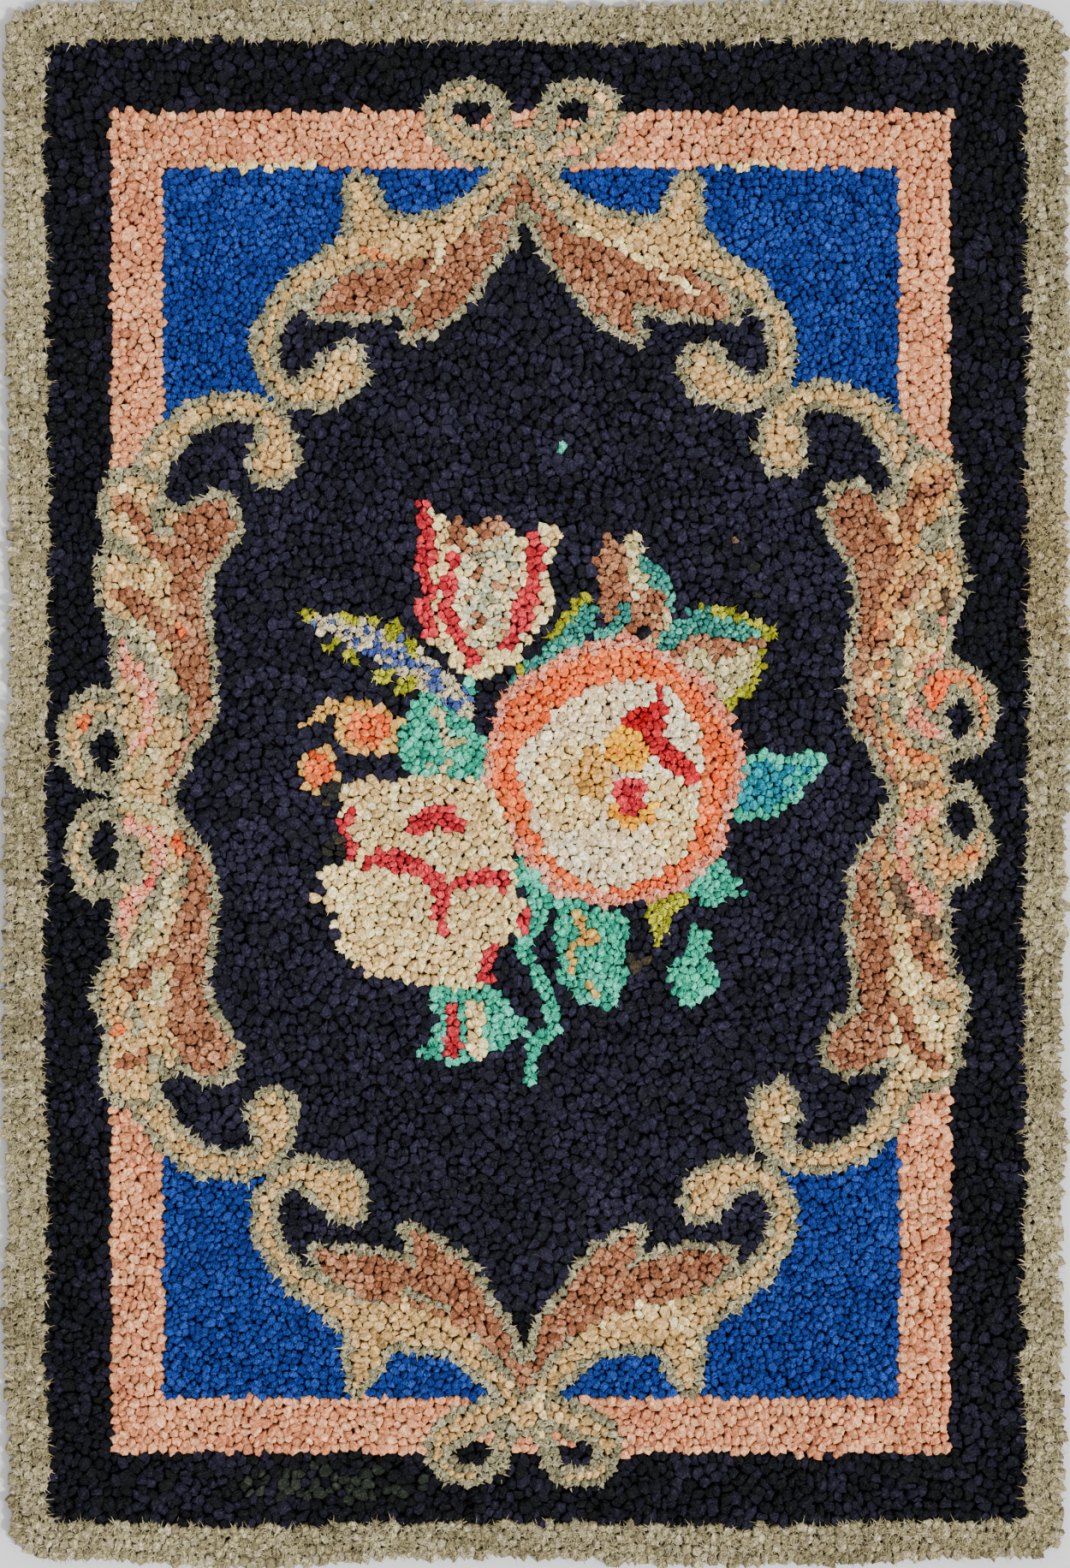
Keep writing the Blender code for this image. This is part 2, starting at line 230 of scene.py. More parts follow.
END_FEATHER = (
    (40, 346, 14), (73, 326, 19), (101, 318, 20), (124, 311, 14), (135, 302, 6),
)
END_HOLLOW = Oval(0, 349, 5, 13)
CURL_EYE = Oval(33, 434, 11, 6.5)

# Corner curls between an end scroll and a side scroll
CORNER_CURL = (
    (247, 188, 14), (236, 213, 12), (218, 234, 11), (194, 243, 10.5),
    (171, 241, 10), (160, 227, 12), (162, 211, 18), (166, 200, 9),
)
CORNER_SHIFT = {
    "left_upper": (0, 0), "left_lower": (1, 4),
    "right_upper": (5, 7), "right_lower": (0, 0),
}

# Side scrolls: distances across from the axis and along from the side scrolls' middle
SIDE_TRUNK = (
    (201, 194, 8), (203, 183, 21), (217, 160, 22.7), (219.5, 140, 19),
    (217, 120, 16), (218, 101, 20), (213, 77, 15.5), (210, 51, 12),
    (219, 33, 9), (229, 13.5, 9), (236, 0, 8),
)
SIDE_FLANK = (
    (253, 203, 22), (253, 183, 20), (255, 160, 18.5), (259, 137, 20),
    (253, 120, 20), (252, 102, 16), (248, 77, 20), (243, 55, 23),
    (242, 33, 20), (247, 13.5, 20), (253, 0, 16),
)
SIDE_BRIDGE = (
    (228, 192, 8), (236, 160, 20), (238, 140, 16.5), (235, 120, 16),
    (235, 101, 17), (231, 77, 12), (226, 51, 10), (231, 33, 13),
    (239, 13, 15), (245, 0, 13),
)
# Past this distance along, a side scroll is its heel, which is shorter in some quarters
HEEL_START = 150.0
SideRow = namedtuple("SideRow", "shift stretch heel curl eye")
SIDE_ROWS = {
    "left_upper": SideRow(0, 1.0, 0.79, Oval(276.5, 36, 25, 34), Oval(271.5, 30, 9, 13.7)),
    "left_lower": SideRow(0, 0.94, 0.82, Oval(275, 37, 22, 34), Oval(271, 36, 8.6, 17.7)),
    "right_upper": SideRow(10, 1.0, 1.0, Oval(268, 54, 29, 33), Oval(272, 49, 8, 12)),
    "right_lower": SideRow(10, 1.0, 0.36, Oval(264, 26, 30, 36), Oval(272, 15, 9, 13)),
}

# Coloured strokes inside the scrolls: a zone, then beads of X, Y and half width on the rug
SCROLL_STROKES = (
    # Upper left
    ("brown", (-268, 182, 6), (-260, 174, 6), (-251, 162, 5.5), (-244, 150, 5)),
    ("cream", (-271, 190, 2.6), (-256, 188, 2.6)),
    ("sage", (-247, 174, 5), (-239, 162, 4)),
    ("cream", (-270, 171, 3.6), (-259, 156, 3.6)),
    ("sage", (-277, 160, 4), (-262, 148, 5), (-253, 145, 4)),
    ("cream", (-271, 129, 2.6), (-249, 131, 2.6), (-246, 141, 2.4)),
    ("brown", (-268, 122, 5), (-260, 118, 6), (-250, 109, 6), (-240, 97, 6)),
    ("gold", (-249, 126, 3), (-243, 118, 3), (-236, 106, 3)),
    ("sage", (-270, 104, 5), (-256, 84, 5), (-246, 69, 4), (-237, 50, 5)),
    ("straw", (-260, 101, 4), (-250, 91, 4), (-241, 77, 4), (-239, 62, 4)),
    ("blush", (-273, 93, 5), (-268, 78, 7), (-256, 69, 6), (-251, 58, 5), (-251, 42, 3.4),
     (-254, 31, 3), (-264, 20, 3)),
    ("coral", (-288, 41, 3), (-298, 36, 3)),
    ("coral", (-291, 19, 3), (-290, 17, 2)),
    ("coral", (-232, 98, 4), (-231, 94, 3)),
    ("straw", (-247, 23, 5), (-262, 5, 4)),
    # Lower left
    ("straw", (-267, -12, 5), (-245, -19, 5), (-236, -27, 5)),
    ("coral", (-233, -38, 4), (-229, -47, 4)),
    ("sage", (-260, -43, 7), (-262, -58, 7)),
    ("blush", (-270, -26, 4), (-251, -32, 4), (-245, -43, 5), (-246, -58, 4), (-257, -72, 5),
     (-267, -86, 7), (-273, -102, 5)),
    ("red", (-248, -64, 2.6), (-247, -65, 2.2)),
    ("sage", (-242, -60, 4), (-251, -89, 5), (-260, -103, 5)),
    ("straw", (-237, -64, 4), (-240, -77, 4), (-246, -92, 5), (-260, -112, 5)),
    ("brown", (-246, -116, 7), (-262, -130, 7)),
    ("straw", (-246, -127, 5), (-245, -140, 5), (-254, -137, 4)),
    ("sage", (-260, -148, 5), (-257, -157, 5)),
    ("coral", (-276, -157, 3), (-268, -162, 3)),
    ("brown", (-265, -182, 5), (-254, -176, 5)),
    ("sage", (-246, -180, 4), (-239, -198, 4)),
    # Upper right
    ("amber", (247, 196, 5), (269, 202, 5)),
    ("amber", (261, 184, 4), (250, 173, 6), (243, 160, 6), (238, 146, 5), (235, 132, 5), (224, 112, 4)),
    ("brown", (264, 196, 4.5), (252, 188, 6), (238, 182, 6), (240, 168, 5)),
    ("sage", (264, 170, 6), (257, 157, 8), (250, 151, 3)),
    ("cream", (272, 165, 6), (269, 156, 6)),
    ("amber", (266, 146, 5), (256, 141, 4)),
    ("cream", (254, 145, 2.4), (258, 139, 2.4), (264, 134, 2.4)),
    ("brown", (255, 134, 5), (243, 126, 6), (238, 118, 5)),
    ("cream", (259, 130, 2.6), (252, 122, 2.6), (246, 112, 2.6)),
    ("umber", (266, 119, 4), (265, 115, 4)),
    ("amber", (240, 97, 5), (236, 88, 4)),
    ("cream", (239, 112, 3), (237, 103, 2.6), (233, 95, 2.6), (227, 87, 3), (219, 78, 2.6),
     (218, 69, 2.6), (214, 59, 2.4)),
    ("orange", (224, 104, 3), (221, 97, 3)),
    ("sage", (252, 106, 6), (256, 101, 6)),
    ("blush", (266, 108, 3.4), (265, 104, 3)),
    ("cream", (252, 89, 5.5), (261, 87, 5.5)),
    ("blush", (247, 72, 3.5), (260, 81, 3.5)),
    ("coral", (260, 61, 9), (262, 52, 8)),
    ("orange", (227, 80, 3.4), (224, 64, 3.4), (224, 50, 3.4), (229, 35, 3.4), (243, 19, 3.6),
     (260, 15, 3.8), (274, 18, 3.8), (285, 29, 3.6), (289, 41, 3.6), (288, 58, 3.6), (278, 67, 3.8),
     (264, 70, 3.6)),
    ("sage", (233, 86, 3.4), (232, 70, 3.4), (230, 55, 3.4), (235, 41, 3.4), (246, 28, 3.4),
     (254, 24, 3.4), (266, 27, 3.4)),
    ("cream", (240, 77, 3), (238, 63, 3), (240, 44, 3)),
    ("sage", (260, 75, 3), (247, 63, 3), (249, 49, 3), (258, 40, 3)),
    ("blush", (243, 53, 3), (247, 38, 5), (258, 33, 5)),
    ("sage", (270, 62, 4), (272, 53, 4)),
    # Lower right
    ("umber", (240, 2, 3), (254, -1, 3)),
    ("amber", (235, -13, 4), (241, -7, 4), (254, -5, 3.6), (272, -1, 4), (281, -2, 4.6),
     (288, -15, 4.6), (290, -30, 4.6), (286, -42, 4)),
    ("orange", (281, -46, 3.6), (269, -54, 3.6)),
    ("amber", (260, -46, 8), (261, -57, 8)),
    ("sage", (232, -16, 3), (230, -46, 3)),
    ("sage", (247, -36, 3.5), (248, -53, 3.5), (257, -67, 3.5)),
    ("blush", (255, -19, 4), (240, -26, 5.5), (235, -38, 4.5), (238, -53, 5), (243, -67, 5),
     (254, -78, 8)),
    ("umber", (233, -64, 3.6), (240, -83, 4), (250, -89, 4), (261, -97, 4)),
    ("amber", (224, -43, 3), (227, -63, 3), (221, -72, 3)),
    ("amber", (243, -91, 3), (250, -100, 3), (258, -111, 3), (262, -118, 3)),
    ("cream", (235, -111, 4.5), (240, -128, 7), (254, -129, 6), (266, -126, 4)),
    ("cream", (246, -145, 6), (258, -156, 8), (269, -160, 6), (272, -174, 6), (264, -188, 5)),
    ("cream", (233, -160, 3), (236, -174, 5.5), (241, -190, 6)),
    ("sage", (250, -140, 3), (264, -143, 3)),
    ("brown", (246, -100, 5.5), (250, -112, 5.5), (260, -122, 5)),
    ("brown", (236, -148, 5.5), (241, -162, 4.5), (250, -173, 4.5), (261, -182, 4.5)),
    ("brown", (218, -162, 7), (204, -176, 9), (193, -183, 7)),
    # End scrolls
    ("cream", (-60, 342, 2.6), (-70, 326, 3), (-77, 314, 2.6)),
    ("cream", (25, 361, 2.6), (60, 344, 3), (84, 330, 3), (104, 318, 3)),
    ("orange", (-112, 346, 3), (-96, 338, 3)),
    ("blush", (16, 409, 4), (24, 408, 4)),
    ("cream", (44, -352, 3), (70, -340, 5), (98, -350, 7), (102, -372, 4)),
    ("cream", (2, -400, 4), (6, -420, 5), (22, -444, 4)),
    ("cream", (160, -212, 6), (164, -204, 6)),
    ("gold", (-66, -336, 3), (-90, -330, 3)),
    ("sage", (-60, -338, 3), (-84, -330, 3)),
)

# The bouquet, from what lies at the back to what lies in front
ROSE = (
    (-35, -10), (-32, 28), (-18, 62), (20, 86), (57, 96), (88, 84),
    (107, 69), (124, 45), (136, 20), (127, -20), (119, -47), (92, -70),
    (54, -80), (14, -73), (-12, -44),
)
ROSE_HEART = (
    (-12, 13), (6, 42), (43, 66), (81, 63), (100, 44), (108, 22),
    (106, -14), (98, -44), (76, -60), (48, -69), (24, -60), (5, -44),
    (-6, -12),
)
PEONY = (
    (-124, -3), (-106, 2), (-83, 4), (-36, 0), (-19, -29), (-14, -47),
    (-13, -66), (-7, -78), (-5, -93), (-26, -105), (-31, -128), (-42, -134),
    (-62, -132), (-93, -129), (-118, -120), (-131, -97), (-130, -84),
    (-145, -74), (-133, -69), (-142, -58), (-121, -49), (-129, -30),
)
TULIP = (
    (-75, 184), (-62, 174), (-48, 171), (-43, 161), (-32, 173), (-19, 171),
    (-12, 160), (14, 169), (10, 140), (8, 110), (-1, 98), (-11, 84),
    (-18, 74), (-38, 69), (-51, 72), (-60, 83), (-71, 95), (-73, 135),
)
BOUQUET = (
    Patch("teal", Limb(((-40, 72, 2.6), (-42, 47, 2.6)))),
    Patch("slate", Limb((
        (-140, 105, 6), (-122, 98, 10), (-104, 90, 11.5), (-84, 80, 11),
        (-66, 67, 10), (-50, 54, 8), (-43, 40, 3)))),
    Patch("lime", Oval(-147, 109, 5, 3)),
    Patch("lime", Oval(-122, 107, 7, 4)),
    Patch("lime", Oval(-105, 105, 7, 4)),
    Patch("lime", Oval(-92, 99, 5, 6)),
    Patch("lime", Oval(-80, 88, 5, 8)),
    Patch("lime", Oval(-134, 89, 5, 4)),
    Patch("lime", Oval(-121, 83, 6, 5)),
    Patch("lime", Oval(-99, 70, 8, 4)),
    Patch("lime", Oval(-83, 63, 8, 5)),
    Patch("coral", Oval(-108, 35, 22, 18), "ochre", 6.0),
    Patch("ochre", Limb(((-150, 36, 3), (-138, 45, 5), (-124, 48, 6)))),
    Patch("coral", Oval(-141, 9, 13, 16), "ochre", 4.0),
    Patch("teal", Blob((
        (-76, 62), (-62, 52), (-42, 38), (-28, 18), (-32, -2), (-62, -6),
        (-78, 0), (-89, 18), (-84, 44)))),
    Patch("straw", Limb(((-63, 45, 3.4), (-59, 23, 3), (-59, 6, 2.6)))),
    Patch("straw", Limb(((-68, 11, 2.4), (-56, 13, 2.6)))),
    Patch("straw", Limb(((-58, 25, 2.4), (-43, 31, 2.6)))),
    Patch("brown", Limb(((47, 157, 6), (50, 138, 12), (53, 117, 13), (54, 100, 11)))),
    Patch("straw", Limb(((61, 155, 6), (67, 140, 7), (66, 120, 6)))),
    Patch("spruce", Limb(((70, 146, 3), (79, 132, 6), (86, 114, 4.5)))),
    Patch("brown", Oval(73, 112, 12, 15)),
    Patch("straw", Oval(80, 98, 11, 13)),
    Patch("brown", Oval(78, 102, 4.5, 7)),
    Patch("lime", Limb(((-16, 64, 3), (6, 88, 3), (20, 106, 4), (29, 119, 4)))),
    Patch("spruce", Limb(((-12, 64, 5), (10, 84, 7), (26, 98, 8), (34, 112, 5)))),
    Patch("spruce", Limb(((40, 98, 4), (52, 101, 4), (57, 113, 4)))),
    Patch("straw", Blob((
        (90, 76), (112, 90), (146, 90), (142, 72), (126, 52), (104, 56)))),
    Patch("lime", Limb(((146, 82, 3.4), (138, 62, 3.6), (122, 47, 3)))),
    Patch("lime", Limb(((104, 112, 4), (122, 110, 4), (152, 97, 4.5)))),
    Patch("brown", Limb(((86, 82, 5), (106, 94, 5), (117, 87, 6.5), (130, 91, 6), (143, 92, 4.5)))),
    Patch("spruce", Limb(((72, 80, 6), (86, 92, 6), (104, 105, 7.5), (118, 100, 7),
                          (138, 98, 5)))),
    Patch("turquoise", Blob((
        (124, 8), (140, 20), (160, 20), (188, 17), (176, -2), (158, -20),
        (138, -24), (124, -14))), "teal", 6.0),
    Patch("teal", Blob((
        (98, -50), (113, -42), (122, -50), (134, -72), (122, -76), (112, -84),
        (100, -74), (92, -64)))),
    Patch("lime", Blob(((66, -72), (84, -68), (98, -74), (86, -92), (80, -110),
                        (74, -90)))),
    Patch("teal", Blob((
        (104, -90), (112, -98), (112, -112), (116, -132), (102, -146),
        (90, -140), (85, -120), (94, -108)))),
    Patch("teal", Blob((
        (14, -72), (34, -80), (56, -84), (59, -104), (58, -130), (52, -144),
        (36, -144), (18, -130), (11, -106)))),
    Patch("ochre", Limb((
        (26, -82, 2.8), (30, -94, 4), (40, -100, 4), (24, -104, 3), (22, -122, 2.6)))),
    Patch("ochre", Oval(36, -133, 3, 5)),
    Patch("blush", Blob(ROSE), None, 0.0),
    Patch("teal", Limb((
        (-12, -55, 6), (-2, -69, 7), (3, -85, 6), (-8, -106, 4), (-1, -119, 4.5),
        (7, -138, 5), (9, -161, 5), (-3, -173, 4), (-4, -190, 4)))),
    Patch("teal", Blob((
        (-71, -126), (-46, -132), (-24, -134), (-6, -160), (-28, -172),
        (-40, -182), (-58, -180), (-79, -174), (-64, -156)))),
    Patch("red", Limb(((-53, -147, 5), (-55, -172, 6)))),
    Patch("cream", Limb(((-41, -144, 6), (-40, -172, 6.5)))),
    Patch("cream", Blob(PEONY)),
    Patch("red", Limb(((-120, -20, 5), (-125, -31, 5.5), (-119, -45, 4)))),
    Patch("red", Limb(((-81, -32, 3), (-75, -25, 6), (-63, -21, 8), (-52, -27, 5)))),
    Patch("red", Limb((
        (-108, -52, 4), (-95, -49, 6), (-77, -56, 6.5), (-64, -64, 6), (-60, -74, 5),
        (-63, -84, 4), (-60, -95, 3.5)))),
    Patch("red", Limb(((-52, -66, 4), (-34, -60, 6), (-23, -64, 6)))),
    Patch("red", Limb(((-6, -82, 3.4), (-9, -96, 3.4)))),
    Patch("red", Limb(((-29, -108, 4), (-32, -126, 5)))),
    Patch("cream", Blob(TULIP)),
    Patch("dome", Oval(-30, 124, 21, 40)),
    Patch("red", Limb(((-75, 182, 4), (-72, 160, 5), (-72, 130, 5), (-71, 98, 5)))),
    Patch("red", Limb((
        (-54, 147, 4), (-58, 113, 4.5), (-54, 100, 4), (-50, 89, 4), (-41, 79, 4)))),
    Patch("red", Limb((
        (-1, 158, 5), (-2, 144, 6), (-3, 130, 4), (-8, 116, 8), (-10, 102, 5),
        (-22, 88, 3.5)))),
    Patch("brown", Oval(-52, 163, 6, 10)),
    Patch("brown", Oval(-28, 166, 11, 8)),
    Patch("straw", Oval(-29, 156, 7, 6)),
    Patch("sage", Oval(-38, 146, 5, 4)),
    Patch("brown", Oval(-37, 134, 4, 5)),
    Patch("brown", Oval(-24, 128, 4, 5)),
    Patch("sage", Oval(-30, 118, 6, 4)),
    Patch("brown", Oval(-36, 104, 4, 4)),
    Patch("straw", Oval(-26, 96, 6, 5)),
    Patch("teal", Oval(16, 216, 2.5, 2.5)),
    Patch("umber", Oval(130, 159, 3, 3)),
    Patch("olive", Oval(141, 140, 4, 3)),
    Patch("olive", Oval(147, 122, 4, 3)),
    Patch("olive", Oval(-133, -8, 6, 8)),
    Patch("olive", Oval(-131, -42, 6, 9)),
    Patch("olive", Oval(66, -116, 8, 5)),
)

# The rose's ring and heart, over its frayed rim
ROSE_RIM = 8.0
ROSE_DETAILS = (
    Patch("white", Blob(ROSE_HEART)),
    Patch("cream", Oval(22, -2, 26, 30)),
    Patch("cream", Oval(86, -22, 16, 28)),
    Patch("lilac", Oval(50, 12, 10, 9)),
    Patch("ochre", Oval(36, 6, 12, 18)),
    Patch("yellow", Oval(59, 24, 16, 15)),
    Patch("scarlet", Oval(69, 42, 13, 9)),
    Patch("crimson", Limb(((74, 34, 5), (80, 46, 4), (80, 60, 2.6)))),
    Patch("crimson", Limb(((76, 30, 6), (86, 16, 7), (102, 4, 5.5)))),
    Patch("yellow", Limb(((50, -18, 4), (62, -26, 5), (76, -14, 4)))),
    Patch("red", Oval(60, -8, 11, 13)),
)

# Worn or stained places: the greenish strips in the lower band, and a browner edge
WORN_BAND = Oval(-132, -453, 62, 12)
STAIN = Bar(312.0, 90.0, 345.0, 200.0)
STAIN_TINT = (0.93, 0.86, 0.78)

# Samples on each span of a smooth line, and how far off a shape is told from afar
LINE_STEPS = 10
FAR = 1000.0
NEARBY = 14.0


# Rim and heights

def smooth_share(share):
    """Ease shares from 0 to 1 so that they start and end level."""
    return share * share * (3.0 - 2.0 * share)


def edge_wander(side, places):
    """How far the rim stands out of the straight line, at places along a side."""
    rows = EDGE_WANDER[side.name]
    known = np.array([place for place, out in rows], float)
    outs = np.array([out for place, out in rows])
    before = np.clip(np.searchsorted(known, places) - 1, 0, len(rows) - 2)
    share = np.clip((places - known[before]) / (known[before + 1] - known[before]), 0.0, 1.0)
    return outs[before] + (outs[before + 1] - outs[before]) * smooth_share(share)


def wander_kept(inset):
    """The share of the rim's wander that a line this far in still follows."""
    share = np.clip(inset / BORDER_WIDTH, 0.0, 1.0)
    return 1.0 - (1.0 - WANDER_KEPT_INSIDE) * share


def corner_radius(inset):
    """Corners tighten from the rim to the border's inner edge."""
    share = np.clip(inset / BORDER_WIDTH, 0.0, 1.0)
    return OUTER_CORNER_RADIUS + (INNER_CORNER_RADIUS - OUTER_CORNER_RADIUS) * share


def inset_of(points):
    """How far in from the ragged rim each point lies."""
    columns = []
    for side in SIDES:
        own = points - RIM_SHIFT
        straight = side.reach - own @ side.outward
        columns.append(straight + edge_wander(side, own @ side.along) * wander_kept(straight))
    nearest = np.sort(np.stack(columns, axis=1), axis=1)
    first, second = nearest[:, 0], nearest[:, 1]
    radius = corner_radius(first)
    rounded = radius - np.hypot(radius - first, radius - second)
    return np.where(second < radius, rounded, first)


def rim_row(inset, pitch):
    """Evenly spaced points on the line this far in from the rim, and the way out at each."""
    radius = corner_radius(inset)
    points, outwards = [], []
    for number, side in enumerate(SIDES):
        following = SIDES[(number + 1) % len(SIDES)]
        run = side.half_run - inset - radius
        count = int(2.0 * run / pitch)
        places = run * (2.0 * (np.arange(count) + 0.5) / count - 1.0)
        out = side.reach - inset + edge_wander(side, places) * wander_kept(inset)
        points.append(np.outer(out, side.outward) + np.outer(places, side.along))
        outwards.append(np.tile(side.outward, (count, 1)))
        bends = max(2, round(radius * math.pi / 2 / pitch))
        share = (np.arange(bends) + 0.5) / bends
        turn = share * math.pi / 2
        wander = edge_wander(side, np.full(bends, run)) * (1.0 - share)
        wander += edge_wander(following, np.full(bends, inset + radius - following.half_run)) * share
        way = np.outer(np.cos(turn), side.outward) + np.outer(np.sin(turn), side.along)
        centre = side.outward * (side.reach - inset - radius) + side.along * run
        points.append(centre + way * (radius + wander * wander_kept(inset))[:, None])
        outwards.append(way)
    return np.vstack(points) + RIM_SHIFT, np.vstack(outwards)


def foot_heights(insets):
    """The height of a loop's foot: over the rim, on the hem, or on the single cloth."""
    return np.interp(insets, HEM_INSET, (FOOT_AT_RIM, FOOT_ON_HEM, FOOT_ON_HEM, FOOT_ON_CLOTH))


def lumps(points, layer):
    """A smooth unevenness from -1 to 1 at each point, different on each layer."""
    found = [
        noise.noise(Vector((x, y, layer * 0.5 * LUMP_SIZE)) / LUMP_SIZE) for x, y in points
    ]
    return np.clip(2.0 * np.array(found), -1.0, 1.0)


# Shapes of the pattern

def smooth_line(rows, closed=False):
    """A smooth line through the rows, with samples between them."""
    rows = np.asarray(rows, float)
    if closed:
        padded = np.vstack((rows[-1:], rows, rows[:2]))
    else:
        padded = np.vstack((2 * rows[:1] - rows[1:2], rows, 2 * rows[-1:] - rows[-2:-1]))
    share = (np.arange(LINE_STEPS) / LINE_STEPS)[:, None]
    spans = []
    for a, b, c, d in zip(padded, padded[1:], padded[2:], padded[3:]):
        spans.append(0.5 * (
            2 * b + (c - a) * share + (2 * a - 5 * b + 4 * c - d) * share ** 2
            + (3 * b - a - 3 * c + d) * share ** 3
        ))
    if not closed:
        spans.append(rows[-1:])
    return np.vstack(spans)


def limb_reach(points, limb):
    """How far each point lies outside a stroke, or less than nothing inside it."""
    line = smooth_line(limb.beads)
    gaps = np.linalg.norm(points[:, None] - line[None, :, :2], axis=2)
    return (gaps - line[:, 2]).min(axis=1)


def blob_reach(points, blob):
    """How far each point lies outside a smooth closed outline, or less than nothing inside."""
    line = smooth_line(blob.spots, closed=True)
    ahead = np.roll(line, -1, axis=0)
    x, y = points[:, :1], points[:, 1:]
    crosses = (line[:, 1] > y) != (ahead[:, 1] > y)
    rise = np.where(ahead[:, 1] == line[:, 1], 1.0, ahead[:, 1] - line[:, 1])
    hit = line[:, 0] + (y - line[:, 1]) * (ahead[:, 0] - line[:, 0]) / rise
    inside = (crosses & (x < hit)).sum(axis=1) % 2 == 1
    gaps = np.linalg.norm(points[:, None] - line[None], axis=2).min(axis=1)
    return np.where(inside, -gaps, gaps)


def oval_reach(points, oval):
    """How far each point lies outside an oval, roughly, or less than nothing inside."""
    scaled = np.hypot((points[:, 0] - oval.x) / oval.half_x, (points[:, 1] - oval.y) / oval.half_y)
    return (scaled - 1.0) * min(oval.half_x, oval.half_y)


def bar_reach(points, bar):
    """How far each point lies outside an upright rectangle, or less than nothing inside."""
    x, y = points[:, 0], points[:, 1]
    sides = (bar.left - x, x - bar.right, bar.bottom - y, y - bar.top)
    return np.max(sides, axis=0)


REACHES = {Limb: limb_reach, Blob: blob_reach, Oval: oval_reach, Bar: bar_reach}


def shape_box(shape):
    """The lowest and highest corner of a shape."""
    if isinstance(shape, Oval):
        half = np.array((shape.half_x, shape.half_y))
        centre = np.array((shape.x, shape.y))
        return centre - half, centre + half
    if isinstance(shape, Bar):
        return np.array((shape.left, shape.bottom)), np.array((shape.right, shape.top))
    if isinstance(shape, Blob):
        line = smooth_line(shape.spots, closed=True)
        return line.min(axis=0), line.max(axis=0)
    line = smooth_line(shape.beads)
    return (line[:, :2] - line[:, 2:]).min(axis=0), (line[:, :2] + line[:, 2:]).max(axis=0)


def reach(points, shape):
    """How far each point lies outside a shape; points far from its box aren't measured."""
    low, high = shape_box(shape)
    near = np.all((points > low - NEARBY) & (points < high + NEARBY), axis=1)
    result = np.full(len(points), FAR)
    if near.any():
        result[near] = REACHES[type(shape)](points[near], shape)
    return result


# Placing the pattern's quarters

def end_point(quarter, u, v):
    """From distances across and along to the rug's X and Y, for the end scrolls."""
    return SCROLL_AXIS + quarter.across * u, quarter.along * v


def side_point(quarter, u, v):
    """The same for the side scrolls, which have their own middle line, stretch and heel."""
    row = SIDE_ROWS[quarter.name]
    if v > HEEL_START:
        v = HEEL_START + (v - HEEL_START) * row.heel
    return (
        SCROLL_AXIS + quarter.across * (u + row.shift),
        SIDE_MIDDLE + quarter.along * v * row.stretch,
    )


def end_limb(quarter, beads, shift=(0, 0)):
    """A stroke of the end scrolls, in its quarter."""
    moved = []
    for x, y, half in beads:
        moved.append((*end_point(quarter, x + shift[0], y + shift[1]), half))
    return Limb(tuple(moved))


def side_limb(quarter, beads):
    """A stroke of the side scrolls, in its quarter."""
    moved = []
    for x, y, half in beads:
        moved.append((*side_point(quarter, x, y), half))
    return Limb(tuple(moved))


def quarter_oval(place, quarter, oval):
    """An oval in its quarter, placed by one of the two functions above."""
    x, y = place(quarter, oval.x, oval.y)
    return Oval(x, y, oval.half_x, oval.half_y)


def end_patches(quarter):
    """One quarter of an end scroll: its gold body, spur and curl, and its brown plumes."""
    return (
        Patch("brown", end_limb(quarter, END_FEATHER)),
        Patch("brown", end_limb(quarter, END_PLUME)),
        Patch("gold", end_limb(quarter, END_SPUR)),
        Patch("gold", end_limb(quarter, END_BODY)),
        Patch("gold", end_limb(quarter, END_CURL)),
        Patch("gold", end_limb(quarter, END_LINK)),
    )


def corner_patches(quarter):
    """The curl between an end scroll and a side scroll."""
    return (Patch("gold", end_limb(quarter, CORNER_CURL, CORNER_SHIFT[quarter.name])),)


def side_patches(quarter):
    """One half of a side scroll: its brown trunk, gold flank and round curl."""
    row = SIDE_ROWS[quarter.name]
    return (
        Patch("gold", quarter_oval(side_point, quarter, row.curl)),
        Patch("gold", side_limb(quarter, SIDE_FLANK)),
        Patch("gold", side_limb(quarter, SIDE_BRIDGE)),
        Patch("brown", side_limb(quarter, SIDE_TRUNK)),
    )


def scroll_groups():
    """The scrolls in the order they overlap: each group shares one sage outline."""
    groups = []
    for quarter in QUARTERS:
        groups.append(corner_patches(quarter))
    for sign in (-1, 1):
        pair = [quarter for quarter in QUARTERS if quarter.across == sign]
        groups.append(side_patches(pair[0]) + side_patches(pair[1]))
        pair = [quarter for quarter in QUARTERS if quarter.along == sign]
        groups.append(end_patches(pair[0]) + end_patches(pair[1]))
    return groups


def scroll_eyes():
    """The dark hollows inside the curls, and the notch between two plumes."""
    eyes = []
    for quarter in QUARTERS:
        eyes.append(quarter_oval(end_point, quarter, CURL_EYE))
        eyes.append(quarter_oval(side_point, quarter, SIDE_ROWS[quarter.name].eye))
    eyes.append(quarter_oval(end_point, QUARTERS[0], END_HOLLOW))
    eyes.append(quarter_oval(end_point, QUARTERS[1], END_HOLLOW))
    return eyes


def blue_panel(quarter):
    """A blue corner, bounded by the scrolls and the frame."""
    spots = [end_point(quarter, *spot) for spot in BLUE_PANEL]
    return Blob(tuple(spots))


SCROLL_GROUPS = scroll_groups()
SCROLL_EYES = scroll_eyes()


def scroll_reach(points):
    """How far each point lies outside all the scrolls together, with their eyes cut out."""
    result = np.full(len(points), FAR)
    for group in SCROLL_GROUPS:
        for patch in group:
            result = np.minimum(result, reach(points, patch.shape))
    for eye in SCROLL_EYES:
        result = np.maximum(result, -reach(points, eye))
    return result


